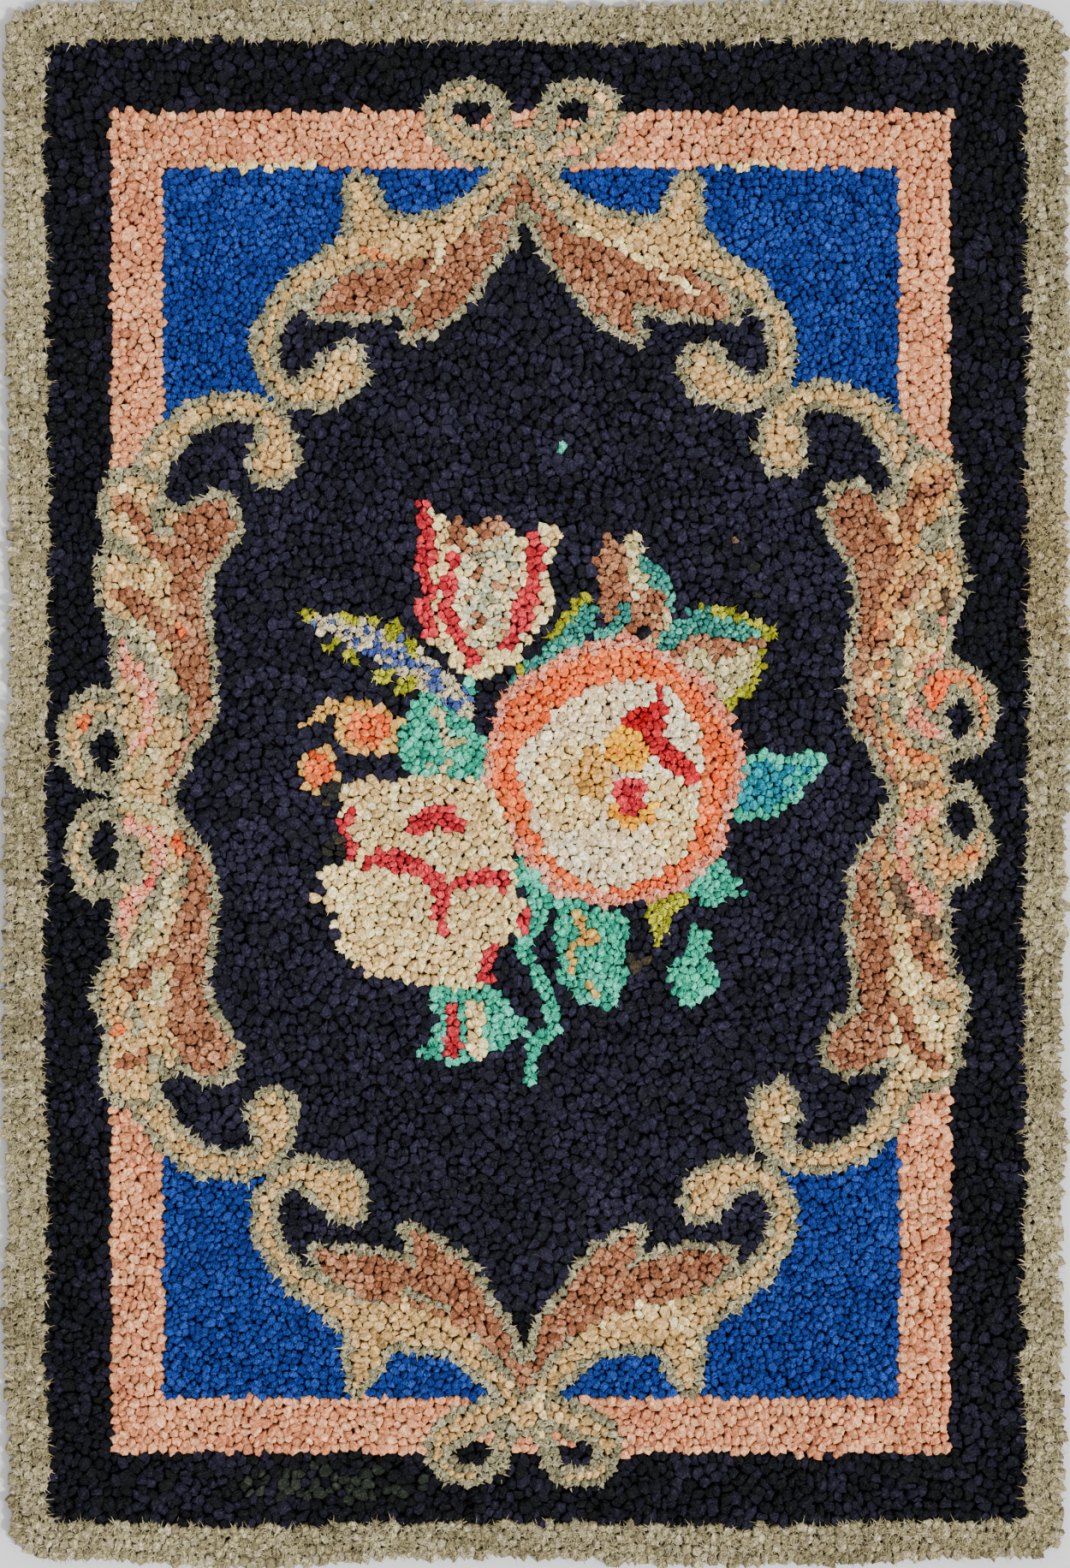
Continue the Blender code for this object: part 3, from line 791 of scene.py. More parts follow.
def paint(labels, points, patch):
    """Lay one patch of the pattern over what is there."""
    depth = -reach(points, patch.shape)
    labels[depth > 0.0] = ZONE_NUMBER[patch.edge_zone or patch.zone]
    labels[depth > patch.edge_width] = ZONE_NUMBER[patch.zone]


def paint_scrolls(labels, points):
    """The scrolls with their sage outline, their strokes of colour and their dark eyes."""
    for group in SCROLL_GROUPS:
        reaches = np.stack([reach(points, patch.shape) for patch in group])
        zones = np.array([ZONE_NUMBER[patch.zone] for patch in group])
        nearest = reaches.min(axis=0)
        labels[nearest < 0.0] = ZONE_NUMBER["sage"]
        body = nearest < -OUTLINE_WIDTH
        labels[body] = zones[reaches.argmin(axis=0)][body]
    inside = scroll_reach(points) < -STROKE_INSET
    for zone, *beads in SCROLL_STROKES:
        limb = Limb(tuple(beads))
        labels[inside & (reach(points, limb) < 0.0)] = ZONE_NUMBER[zone]
    for eye in SCROLL_EYES:
        depth = -reach(points, eye)
        rim = (depth > -OUTLINE_WIDTH) & (scroll_reach(points) < 0.0)
        labels[rim] = ZONE_NUMBER["sage"]
        labels[depth > 0.0] = ZONE_NUMBER["dark"]


def paint_bouquet(labels, points):
    """The flowers and leaves, the rose's ring inside its frayed rim, and its heart."""
    for patch in BOUQUET:
        paint(labels, points, patch)
        if patch.shape == Blob(ROSE):
            labels[reach(points, patch.shape) < -ROSE_RIM] = ZONE_NUMBER["coral"]
            for detail in ROSE_DETAILS:
                paint(labels, points, detail)


def zones_at(points):
    """The number of the zone that each point of the pile lies in."""
    labels = np.full(len(points), ZONE_NUMBER["dark"])
    paint(labels, points, Patch("navy", MIDDLE))
    for quarter in QUARTERS:
        paint(labels, points, Patch("blue", blue_panel(quarter)))
    for bar in FRAME_BARS:
        paint(labels, points, Patch("pink", bar))
    for bar in FRAME_LIGHTS:
        paint(labels, points, Patch("cream", bar))
    paint_scrolls(labels, points)
    worn = (reach(points, WORN_BAND) < 0.0) & (chance.random(len(points)) < 0.6)
    labels[worn] = ZONE_NUMBER["moss"]
    paint_bouquet(labels, points)
    labels[inset_of(points) < BORDER_WIDTH] = ZONE_NUMBER["taupe"]
    return labels


# Placing the loops

class Loops:
    """Arrays with a row for each loop: where it stands, how it lies, and its zone."""

    def __init__(self, points, zones, arches, stretch, pitch, fixed):
        self.points = points
        self.zones = zones
        self.arches = arches
        self.stretch = stretch
        self.pitch = pitch
        self.fixed = fixed

    def joined(self, other):
        """These loops and another set, as one."""
        return Loops(*(
            np.concatenate((mine, yours))
            for mine, yours in zip(vars(self).values(), vars(other).values())
        ))

    def kept(self, mask):
        """The loops where the mask is true."""
        return Loops(*(values[mask] for values in vars(self).values()))

    def half_width(self, angles):
        """Half a loop's width in each direction; it is widest across its arch."""
        turn = angles - self.arches[:, None]
        long_half = self.pitch[:, None] / 2 * np.sqrt(self.stretch[:, None])
        short_half = self.pitch[:, None] / 2 / np.sqrt(self.stretch[:, None])
        return 1.0 / np.hypot(np.cos(turn) / short_half, np.sin(turn) / long_half)


def guide_loops(points, zone, arches, pitch, stretch):
    """Loops that stand in a row along a line of the pattern."""
    count = len(points)
    return Loops(
        points, np.full(count, ZONE_NUMBER[zone]), arches,
        np.full(count, stretch), np.full(count, pitch), np.ones(count, bool),
    )


BORDER_SWAY = 2.2
BORDER_ROWS = ((2.9, 5.6), (8.6, 5.9), (14.5, 6.1), (20.6, 5.8))


def border_guides():
    """The border's rows of loops, which follow the rim."""
    rows = []
    for inset, pitch in BORDER_ROWS:
        points, outwards = rim_row(inset, pitch)
        sway = lumps(points / 1.5, 15) * BORDER_SWAY * inset / BORDER_WIDTH
        points += outwards * sway[:, None] + chance.normal(0.0, 0.9, points.shape)
        arches = np.arctan2(outwards[:, 1], outwards[:, 0]) + math.pi / 2
        arches += chance.normal(0.0, 0.6, len(points))
        rows.append(guide_loops(points, "taupe", arches, 5.8, 1.2))
    return rows


def thinned(points, gap):
    """The points in their order, without those that crowd an earlier one."""
    kept = []
    cells = {}
    for number, (x, y) in enumerate(points):
        cell = (int(x // gap), int(y // gap))
        crowded = False
        for dx in (-1, 0, 1):
            for dy in (-1, 0, 1):
                for other in cells.get((cell[0] + dx, cell[1] + dy), ()):
                    if math.hypot(points[other][0] - x, points[other][1] - y) < gap:
                        crowded = True
        if not crowded:
            kept.append(number)
            cells.setdefault(cell, []).append(number)
    return np.array(kept)


def shape_edge(shape, inward):
    """A dense line of points a little inside a shape's edge."""
    if isinstance(shape, Oval):
        turns = np.linspace(0.0, 2.0 * math.pi, 160, endpoint=False)
        return np.stack((
            shape.x + (shape.half_x - inward) * np.cos(turns),
            shape.y + (shape.half_y - inward) * np.sin(turns),
        ), axis=1)
    line = smooth_line(shape.beads)
    spots, halves = line[:, :2], line[:, 2:] - inward
    ahead = np.gradient(spots, axis=0)
    ahead /= np.linalg.norm(ahead, axis=1)[:, None]
    across = np.stack((-ahead[:, 1], ahead[:, 0]), axis=1)
    turns = np.linspace(-math.pi / 2, math.pi / 2, 12)[:, None]
    start = spots[0] + halves[0] * (-ahead[0] * np.cos(turns) + across[0] * np.sin(turns))
    end = spots[-1] + halves[-1] * (ahead[-1] * np.cos(turns) - across[-1] * np.sin(turns))
    return np.vstack((start, spots + across * halves, end, (spots - across * halves)[::-1]))


def downhill(points, measure):
    """The way in which a measure falls fastest at each point."""
    step = 0.8
    slope = []
    for offset in (np.array((step, 0.0)), np.array((0.0, step))):
        slope.append(measure(points - offset) - measure(points + offset))
    slope = np.stack(slope, axis=1)
    return slope / np.maximum(np.linalg.norm(slope, axis=1), 1e-6)[:, None]


OUTLINE_PITCH = 4.2
OUTLINE_STRETCH = 2.2


def outline_guides():
    """The tongue-like sage loops that lie across the scrolls' outline."""
    inward = OUTLINE_WIDTH / 2
    edges = []
    for group in SCROLL_GROUPS:
        for patch in group:
            edges.append(shape_edge(patch.shape, inward))
    for eye in SCROLL_EYES:
        edges.append(shape_edge(eye, -inward))
    points = np.vstack(edges)
    depth = -scroll_reach(points)
    points = points[np.abs(depth - inward) < 1.1]
    points = points[thinned(points, OUTLINE_PITCH * 0.9)]
    points = points[zones_at(points) == ZONE_NUMBER["sage"]]
    inwards = downhill(points, scroll_reach)
    arches = np.arctan2(inwards[:, 1], inwards[:, 0]) + math.pi / 2
    arches += chance.normal(0.0, 0.22, len(points))
    points = points - inwards * chance.uniform(-1.4, 2.0, len(points))[:, None]
    return guide_loops(points, "sage", arches, 5.3, OUTLINE_STRETCH)


def frame_guides():
    """Rows of pink loops along both edges of the frame."""
    rows = []
    inward = ZONES["pink"].pitch / 2
    for bar in FRAME_BARS:
        inner = Bar(bar.left + inward, bar.bottom + inward, bar.right - inward, bar.top - inward)
        pitch = ZONES["pink"].pitch * 0.95
        across = np.arange(inner.left, inner.right, pitch)
        along = np.arange(inner.bottom, inner.top, pitch)
        for y in (inner.bottom, inner.top):
            rows.append(np.stack((across, np.full(len(across), y)), axis=1))
        for x in (inner.left, inner.right):
            rows.append(np.stack((np.full(len(along), x), along), axis=1))
    points = np.vstack(rows)
    points = points[thinned(points, inward * 1.6)]
    beyond = np.min([np.abs(reach(points, bar)) for bar in FRAME_BARS], axis=0)
    points = points[(zones_at(points) == ZONE_NUMBER["pink"]) & (beyond < inward * 1.2)]
    inside = np.max([-reach(points, bar) for bar in FRAME_BARS], axis=0)
    points = points[inside < inward * 1.4]
    points += chance.normal(0.0, 0.5, points.shape)
    arches = chance.uniform(0.0, math.pi, len(points))
    return guide_loops(points, "pink", arches, ZONES["pink"].pitch, 1.15)


def fill_spots(pitch):
    """A jittered hexagonal grid over the whole rug."""
    xs = np.arange(-RUG_WIDTH / 2, RUG_WIDTH / 2, pitch)
    ys = np.arange(-RUG_LENGTH / 2, RUG_LENGTH / 2, pitch * math.sqrt(3.0) / 2)
    grid_x, grid_y = np.meshgrid(xs, ys)
    grid_x = grid_x + (np.arange(len(ys)) % 2)[:, None] * pitch / 2
    spots = np.stack((grid_x.ravel(), grid_y.ravel()), axis=1)
    return spots + chance.normal(0.0, 0.26 * pitch, spots.shape)


def row_angles(points):
    """The way the hooking runs: rows that bend slowly over the rug."""
    sway = np.sin(points[:, 0] / 47.0 + 1.3) + np.sin(points[:, 1] / 61.0 + points[:, 0] / 83.0)
    return sway * 1.1 + chance.normal(0.0, 0.55, len(points))


def fill_loops(guides):
    """Loops of each zone's own spacing over all that the guides leave free."""
    tree = KDTree(len(guides.points))
    for number, (x, y) in enumerate(guides.points):
        tree.insert((x, y, 0.0), number)
    tree.balance()
    filled = None
    for pitch in sorted({zone.pitch for zone in ZONES.values()}):
        spots = fill_spots(pitch)
        spots = spots[inset_of(spots) > BORDER_WIDTH + 1.0]
        labels = zones_at(spots)
        own = [number for number, name in enumerate(ZONE_NAMES) if ZONES[name].pitch == pitch]
        mask = np.isin(labels, own)
        spots, labels = spots[mask], labels[mask]
        clear = []
        for x, y in spots:
            _, number, distance = tree.find((x, y, 0.0))
            clear.append(distance > 0.40 * (pitch + guides.pitch[number]))
        spots, labels = spots[clear], labels[clear]
        stretch = np.array([ZONES[ZONE_NAMES[label]].stretch for label in labels])
        stretch *= chance.uniform(0.75, 1.6, len(spots))
        size = pitch * chance.uniform(0.7, 1.26, len(spots))
        loops = Loops(spots, labels, row_angles(spots), stretch, size, np.zeros(len(spots), bool))
        filled = loops if filled is None else filled.joined(loops)
    return filled


def neighbours(points, count):
    """The numbers of each point's nearest others."""
    tree = KDTree(len(points))
    for number, (x, y) in enumerate(points):
        tree.insert((x, y, 0.0), number)
    tree.balance()
    table = np.empty((len(points), count), int)
    for number, (x, y) in enumerate(points):
        table[number] = [found[1] for found in tree.find_n((x, y, 0.0), count + 1)][1:]
    return table


RELAX_TURNS = 5
RELAX_NEIGHBOURS = 9
HOLE_SEARCH = 2.0
HOLE_SHARE = 0.68
HOLE_GAP = 4.5
GUIDE_MOBILITY = 0.3


def pair_shares(loops, table):
    """For each loop and neighbour: the way between them, their distance and half widths."""
    ways = loops.points[table] - loops.points[:, None]
    distances = np.maximum(np.linalg.norm(ways, axis=2), 0.05)
    angles = np.arctan2(ways[..., 1], ways[..., 0])
    mine = loops.half_width(angles)
    turned = angles - loops.arches[table]
    long_half = loops.pitch[table] / 2 * np.sqrt(loops.stretch[table])
    short_half = loops.pitch[table] / 2 / np.sqrt(loops.stretch[table])
    theirs = 1.0 / np.hypot(np.cos(turned) / short_half, np.sin(turned) / long_half)
    return ways, distances, angles, mine, theirs


def relax(loops):
    """Push crowded loops apart until they pack evenly."""
    mobility = np.where(loops.fixed, GUIDE_MOBILITY, 1.0)[:, None]
    for _ in range(RELAX_TURNS):
        table = neighbours(loops.points, RELAX_NEIGHBOURS)
        ways, distances, _, mine, theirs = pair_shares(loops, table)
        push = np.clip((mine + theirs) - distances, 0.0, None) * 0.4
        shift = -(ways / distances[..., None] * push[..., None]).sum(axis=1)
        loops.points = loops.points + np.clip(shift, -1.2, 1.2) * mobility
    nearest = neighbours(loops.points, 1)[:, 0]
    distance = np.linalg.norm(loops.points - loops.points[nearest], axis=1)
    crowded = (distance < 0.45 * loops.pitch) & (np.arange(len(nearest)) > nearest)
    return loops.kept(~(crowded & ~loops.fixed))


def hole_loops(loops):
    """Loops for the holes that are left where loops of several sizes meet."""
    tree = KDTree(len(loops.points))
    for number, (x, y) in enumerate(loops.points):
        tree.insert((x, y, 0.0), number)
    tree.balance()
    spots = fill_spots(HOLE_SEARCH)
    spots = spots[inset_of(spots) > 2.0]
    room = []
    for x, y in spots:
        _, number, distance = tree.find((x, y, 0.0))
        room.append(distance - HOLE_SHARE * loops.pitch[number])
    room = np.array(room)
    order = np.argsort(-room)
    spots = spots[order[room[order] > 0.0]]
    spots = spots[thinned(spots, HOLE_GAP)]
    labels = zones_at(spots)
    pitch = np.array([ZONES[ZONE_NAMES[label]].pitch for label in labels])
    count = len(spots)
    return Loops(
        spots, labels, row_angles(spots), np.full(count, 1.2), pitch * 0.85, np.zeros(count, bool),
    )


def place_loops():
    """All the rug's loops, packed, with the zone that each stands in."""
    guides = outline_guides().joined(frame_guides())
    for row in border_guides():
        guides = guides.joined(row)
    loops = relax(guides.joined(fill_loops(guides)))
    loops = relax(loops.joined(hole_loops(loops)))
    free = ~loops.fixed
    labels = zones_at(loops.points)
    field = free & (labels != ZONE_NUMBER["taupe"])
    loops.zones = np.where(field, labels, loops.zones)
    return loops


# Shaping the loops

CELL_NEIGHBOURS = 14
CELL_FILL = 1.07
CELL_CAP = 1.9
CELL_SOFTNESS = 0.12


def cell_walls(loops):
    """How far off each loop's walls with its neighbours stand, and at what angles."""
    table = neighbours(loops.points, CELL_NEIGHBOURS)
    _, distances, ways, mine, theirs = pair_shares(loops, table)
    return distances * mine / (mine + theirs), ways


def cell_widths(loops, walls, ways, angles):
    """How far each loop can spread at each angle before it meets its neighbours."""
    widths = loops.half_width(angles) * CELL_CAP
    for column in range(walls.shape[1]):
        facing = np.cos(angles - ways[:, column:column + 1])
        wall = np.where(facing > 0.15, walls[:, column:column + 1] / np.maximum(facing, 0.15), FAR)
        widths = np.minimum(widths, wall)
    softened = (np.roll(widths, 1, axis=1) + np.roll(widths, -1, axis=1)) / 2
    return np.minimum(widths, widths + (softened - widths) * CELL_SOFTNESS) * CELL_FILL


def loop_faces(sides, rings):
    """The triangles of one loop: its flat foot, its bands, and a ridge of two points."""
    faces = [(0, k + 1, k) for k in range(1, sides - 1)]
    for ring in range(rings - 1):
        for k in range(sides):
            a, b = ring * sides + k, ring * sides + (k + 1) % sides
            faces += [(a, b, b + sides), (a, b + sides, a + sides)]
    last = (rings - 1) * sides
    near, far = rings * sides, rings * sides + 1
    for k in range(sides):
        tip = near if k < 2 or k >= sides - 2 else far
        faces.append((last + k, last + (k + 1) % sides, tip))
    faces += [(near, last + 2, far), (far, last + sides - 2, near)]
    return np.array(faces)


def shade_numbers(loops):
    """Which of its zone's rags each loop was cut from: runs of one rag, with odd ones."""
    drift = lumps(loops.points / 3.2, 5) * 0.5 + 0.5
    mixed = 0.45 * drift + 0.55 * chance.random(len(loops.points))
    ranks = np.argsort(np.argsort(mixed)) / len(mixed)
    counts = np.array([len(ZONES[ZONE_NAMES[zone]].shades) for zone in loops.zones])
    return np.minimum((ranks * counts).astype(int), counts - 1)


def linear(shades):
    """Linear colour from display values of 0 to 255."""
    share = np.asarray(shades, float) / 255.0
    return np.where(share <= 0.04045, share / 12.92, ((share + 0.055) / 1.055) ** 2.4)


def loop_colours(loops):
    """Each loop's colour, with a little fading from loop to loop and over the rug."""
    numbers = shade_numbers(loops)
    shades = np.array([
        ZONES[ZONE_NAMES[zone]].shades[number] for zone, number in zip(loops.zones, numbers)
    ])
    colours = linear(shades)
    fade = 1.0 + 0.09 * chance.normal(0.0, 1.0, len(colours)) + 0.06 * lumps(loops.points / 6.0, 9)
    colours = colours * np.clip(fade, 0.7, 1.35)[:, None]
    stained = reach(loops.points, STAIN) < 0.0
    colours[stained] *= STAIN_TINT
    return colours


def shape_loops(loops, walls, ways, colours, sides):
    """Points, faces, tones with painted shade and highlight, and strip coordinates of loops with the same
    number of sides.
    """
    rings = LOOP_RINGS
    count = len(loops.points)
    turns = np.arange(sides) * 2.0 * math.pi / sides
    across = loops.arches + math.pi / 2
    angles = across[:, None] + turns[None] + chance.normal(0.0, 0.12, (count, sides))
    widths = cell_widths(loops, walls, ways, angles)
    arch_share = np.cos(angles - loops.arches[:, None]) ** 2
    insets = inset_of(loops.points)
    foot = foot_heights(insets)
    top = np.where(loops.zones == ZONE_NUMBER["taupe"], BORDER_TOP, FIELD_TOP)
    top = top + LUMP_HEIGHT * lumps(loops.points, 3) + chance.normal(0.0, 0.5, count)
    top = top - np.clip(4.0 - insets, 0.0, 3.0) * 0.5
    tall = (top - foot)[:, None]
    lean = chance.normal(0.0, 0.45, (count, 2))
    tilt = chance.normal(0.0, 0.2, (count, 2))
    way = np.stack((np.cos(angles), np.sin(angles)), axis=2)
    layers, tones = [], []
    for number, ring in enumerate(rings):
        wide = widths * (ring.width - ring.arch_width * arch_share)
        high = ring.height - ring.arch_height * arch_share
        if number:
            wide = wide * (1.0 + chance.normal(0.0, 0.10, wide.shape))
            high = high + chance.normal(0.0, 0.06, high.shape)
        offsets = way * wide[..., None]
        spots = loops.points[:, None] + offsets + lean[:, None] * high[..., None]
        rises = foot[:, None] + tall * high + (offsets * tilt[:, None]).sum(axis=2) * high
        layers.append(np.concatenate((spots, rises[..., None]), axis=2))
        tones.append(np.full((count, sides), ring.tone))
    for sign in (1.0, -1.0):
        middle = widths.mean(axis=1) * chance.uniform(0.2, 0.42, count) * sign
        ridge = loops.points + lean
        ridge = ridge + np.stack((np.cos(across), np.sin(across)), axis=1) * middle[:, None]
        high = foot + tall[:, 0] * chance.normal(1.0, 0.07, count)
        layers.append(np.concatenate((ridge, high[:, None]), axis=1)[:, None])
        # The ridge's tone of 1.06 is a painted highlight on the loop's top
        tones.append(np.full((count, 1), 1.06))
    points = np.concatenate(layers, axis=1)
    tones = np.concatenate(tones, axis=1)
    size = points.shape[1]
    faces = loop_faces(sides, len(rings))[None] + (np.arange(count) * size)[:, None, None]
    local = points[..., :2] - loops.points[:, None]
    turn = loops.arches[:, None]
    strip = np.stack((
        local[..., 0] * -np.sin(turn) + local[..., 1] * np.cos(turn),
        local[..., 0] * np.cos(turn) + local[..., 1] * np.sin(turn),
        points[..., 2],
    ), axis=2) + chance.uniform(0.0, 400.0, (count, 1, 3))
    # Painted shade: each loop darker and deeper in colour towards its foot, and lighter on its ridge
    colours_with_painted_shade = colours[:, None] ** (1.0 + CREASE_DEPTH * (1.0 - tones[..., None])) * tones[..., None]
    return points.reshape(-1, 3), faces.reshape(-1, 3), colours_with_painted_shade.reshape(-1, 3), strip.reshape(-1, 3)


# Frayed threads

Fray = namedtuple("Fray", "share threads length rise half")
FRAYS = {
    "taupe": Fray(1.0, 7, 4.8, 0.25, 0.48), "sage": Fray(1.0, 4, 3.6, 0.15, 0.85),
    "gold": Fray(0.4, 2, 3.0, 0.4, 0.5), "brown": Fray(0.15, 2, 2.4, 0.5, 0.42),
    "cream": Fray(0.25, 2, 2.8, 0.4, 0.45), "white": Fray(0.4, 2, 2.8, 0.4, 0.45),
    "straw": Fray(0.8, 3, 3.4, 0.4, 0.5), "blush": Fray(0.9, 3, 3.4, 0.4, 0.5),
    "slate": Fray(0.9, 3, 3.4, 0.4, 0.6), "teal": Fray(0.5, 2, 3.2, 0.4, 0.5),
    "lime": Fray(0.8, 3, 3.8, 0.2, 0.7), "pink": Fray(0.12, 2, 2.2, 0.5, 0.42),
    "red": Fray(0.25, 2, 2.6, 0.4, 0.42), "ochre": Fray(0.4, 2, 2.8, 0.4, 0.45),
}
THREAD_TONE = 1.15


def make_frays(loops, colours):
    """Thin pointed threads that stand out of the frayed loops, all as closed spikes."""
    owners, lengths, rises, halves = [], [], [], []
    heights = np.where(loops.zones == ZONE_NUMBER["taupe"], BORDER_TOP, FIELD_TOP)
    for number, zone in enumerate(loops.zones):
        fray = FRAYS.get(ZONE_NAMES[zone])
        if fray is None or chance.random() > fray.share:
            continue
        for _ in range(fray.threads):
            owners.append(number)
            lengths.append(fray.length)
            rises.append(fray.rise)
            halves.append(fray.half)
    count = len(owners)
    roots = np.column_stack((loops.points[owners], heights[owners] - chance.uniform(0.2, 1.6, count)))
    turns = chance.uniform(0.0, 2.0 * math.pi, count)
    ways = np.stack((np.cos(turns), np.sin(turns), np.array(rises) * chance.normal(0.8, 0.6, count)), axis=1)
    ways /= np.linalg.norm(ways, axis=1)[:, None]
    flat = np.stack((-np.sin(turns), np.cos(turns), np.zeros(count)), axis=1)
    upright = np.cross(ways, flat)
    roots[:, :2] += ways[:, :2] * chance.uniform(1.2, 2.6, count)[:, None]
    tips = roots + ways * (np.array(lengths) * chance.uniform(0.5, 1.5, count))[:, None]
    halves = np.array(halves)[:, None]
    corners = []
    for corner in range(3):
        angle = corner * 2.0 * math.pi / 3
        corners.append(roots + (flat * math.cos(angle) + upright * math.sin(angle)) * halves)
    points = np.stack(corners + [tips], axis=1)
    return points, np.repeat(colours[owners][:, None] * THREAD_TONE, 4, axis=1), np.array(owners)


# Materials

def new_material(name):
    """A node material, its nodes and links, and its shader."""
    material = bpy.data.materials.new(name)
    material.use_nodes = True
    tree = material.node_tree
    return material, tree.nodes, tree.links, tree.nodes["Principled BSDF"]


def noise_node(nodes, links, source, scale, detail):
    """Soft noise over a vector, as a value."""
    node = nodes.new("ShaderNodeTexNoise")
    node.inputs["Scale"].default_value = scale
    node.inputs["Detail"].default_value = detail
    links.new(source, node.inputs["Vector"])
    return node.outputs["Fac"]


def ranged(nodes, links, value, low, high):
    """A value from 0 to 1, spread between two others."""
    node = nodes.new("ShaderNodeMapRange")
    node.inputs["To Min"].default_value = low
    node.inputs["To Max"].default_value = high
    links.new(value, node.inputs["Value"])
    return node.outputs["Result"]


def math_node(nodes, links, operation, first, second):
    """Two values brought together."""
    node = nodes.new("ShaderNodeMath")
    node.operation = operation
    for socket, value in zip(node.inputs, (first, second)):
        if isinstance(value, float):
            socket.default_value = value
        else:
            links.new(value, socket)
    return node.outputs["Value"]


# A rib each 1.6 mm of strip: the wave's angle is twenty times its scale
RIB_SCALE = 2.0 * math.pi / (20.0 * 1.6)


def strip_material(name, finish):
    """Worn rag strip with woven threads, crumples and soft ribs; painted shade darkens its folds and rib
    grooves.
    """
    material, nodes, links, shader = new_material(name)
    tone = nodes.new("ShaderNodeAttribute")
    tone.attribute_name = "tone"
    strip = nodes.new("ShaderNodeAttribute")
    strip.attribute_name = "strip"
    place = strip.outputs["Vector"]
    crumple = noise_node(nodes, links, place, 0.30, 3.0)
    thread = noise_node(nodes, links, place, 2.2, 2.0)
    fold = math_node(nodes, links, "ABSOLUTE", math_node(nodes, links, "SUBTRACT", crumple, 0.5), 0.0)
    fold = math_node(nodes, links, "MINIMUM", math_node(nodes, links, "MULTIPLY", fold, 9.0), 1.0)
    height = math_node(nodes, links, "ADD", fold, math_node(nodes, links, "MULTIPLY", thread, 0.3))
    # Painted shade: the colour darkens along the fold lines
    light = math_node(nodes, links, "MULTIPLY", ranged(nodes, links, fold, 0.60, 1.07),
                      ranged(nodes, links, crumple, 0.86, 1.14))
    light = math_node(nodes, links, "MULTIPLY", light, ranged(nodes, links, thread, 0.88, 1.12))
    if finish.rib:
        wave = nodes.new("ShaderNodeTexWave")
        wave.inputs["Scale"].default_value = RIB_SCALE
        wave.inputs["Distortion"].default_value = 1.2
        wave.inputs["Detail"].default_value = 1.0
        links.new(place, wave.inputs["Vector"])
        ribs = math_node(nodes, links, "MULTIPLY", wave.outputs["Fac"], finish.rib)
        height = math_node(nodes, links, "ADD", height, ribs)
        # Painted shade in the grooves between the ribs
        rib_light = ranged(nodes, links, wave.outputs["Fac"], 1.0 - finish.rib * 0.45,
                           1.0 + finish.rib * 0.25)
        light = math_node(nodes, links, "MULTIPLY", light, rib_light)
    colour = nodes.new("ShaderNodeVectorMath")
    colour.operation = "SCALE"
    links.new(tone.outputs["Color"], colour.inputs[0])
    links.new(light, colour.inputs["Scale"])
    links.new(colour.outputs["Vector"], shader.inputs["Base Color"])
    bump = nodes.new("ShaderNodeBump")
    bump.inputs["Strength"].default_value = finish.crumple
    bump.inputs["Distance"].default_value = 1.3 * MM
    links.new(height, bump.inputs["Height"])
    links.new(bump.outputs["Normal"], shader.inputs["Normal"])
    shader.inputs["Roughness"].default_value = finish.roughness
    shader.inputs["Sheen Weight"].default_value = finish.sheen
    shader.inputs["Sheen Roughness"].default_value = 0.6
    shader.inputs["Specular IOR Level"].default_value = finish.gloss
    return material


# How much of its colour the cloth keeps on its upper side, darkened as painted shade under the pile
PAINTED_SHADE_TONE = 0.10


def hessian_material():
    """Coarse jute cloth: a plain weave of uneven brown threads, with painted shade darkening its upper side.
    """
    material, nodes, links, shader = new_material("hessian")
    place = nodes.new("ShaderNodeTexCoord").outputs["Object"]
    weave = []
    for direction in ("X", "Y"):
        wave = nodes.new("ShaderNodeTexWave")
        wave.bands_direction = direction
        wave.inputs["Scale"].default_value = 110.0
        wave.inputs["Distortion"].default_value = 1.5
        wave.inputs["Detail"].default_value = 1.0
        links.new(place, wave.inputs["Vector"])
        weave.append(wave.outputs["Fac"])
    threads = math_node(nodes, links, "MULTIPLY", weave[0], weave[1])
    slubs = noise_node(nodes, links, place, 260.0, 3.0)
    light = math_node(nodes, links, "MULTIPLY", ranged(nodes, links, threads, 0.55, 1.15),
                      ranged(nodes, links, slubs, 0.75, 1.2))
    colour = nodes.new("ShaderNodeMix")
    colour.data_type = "RGBA"
    colour.inputs["A"].default_value = (*linear((92, 70, 44)), 1.0)
    colour.inputs["B"].default_value = (*linear((176, 146, 104)), 1.0)
    links.new(light, colour.inputs["Factor"])
    # Painted shade: the side that faces up is darkened, as under the pile
    upward = nodes.new("ShaderNodeSeparateXYZ")
    links.new(nodes.new("ShaderNodeNewGeometry").outputs["Normal"], upward.inputs["Vector"])
    painted_shade_node = nodes.new("ShaderNodeVectorMath")
    painted_shade_node.operation = "SCALE"
    links.new(colour.outputs["Result"], painted_shade_node.inputs[0])
    links.new(ranged(nodes, links, upward.outputs["Z"], 1.0, PAINTED_SHADE_TONE), painted_shade_node.inputs["Scale"])
    links.new(painted_shade_node.outputs["Vector"], shader.inputs["Base Color"])
    bump = nodes.new("ShaderNodeBump")
    bump.inputs["Strength"].default_value = 0.8
    bump.inputs["Distance"].default_value = 0.5 * MM
    links.new(threads, bump.inputs["Height"])
    links.new(bump.outputs["Normal"], shader.inputs["Normal"])
    shader.inputs["Roughness"].default_value = 0.95
    return material


def floor_material():
    """A plain pale floor."""
    material, _, _, shader = new_material("plain_floor")
    shader.inputs["Base Color"].default_value = (0.62, 0.63, 0.65, 1.0)
    shader.inputs["Roughness"].default_value = 0.9
    return material


# Meshes

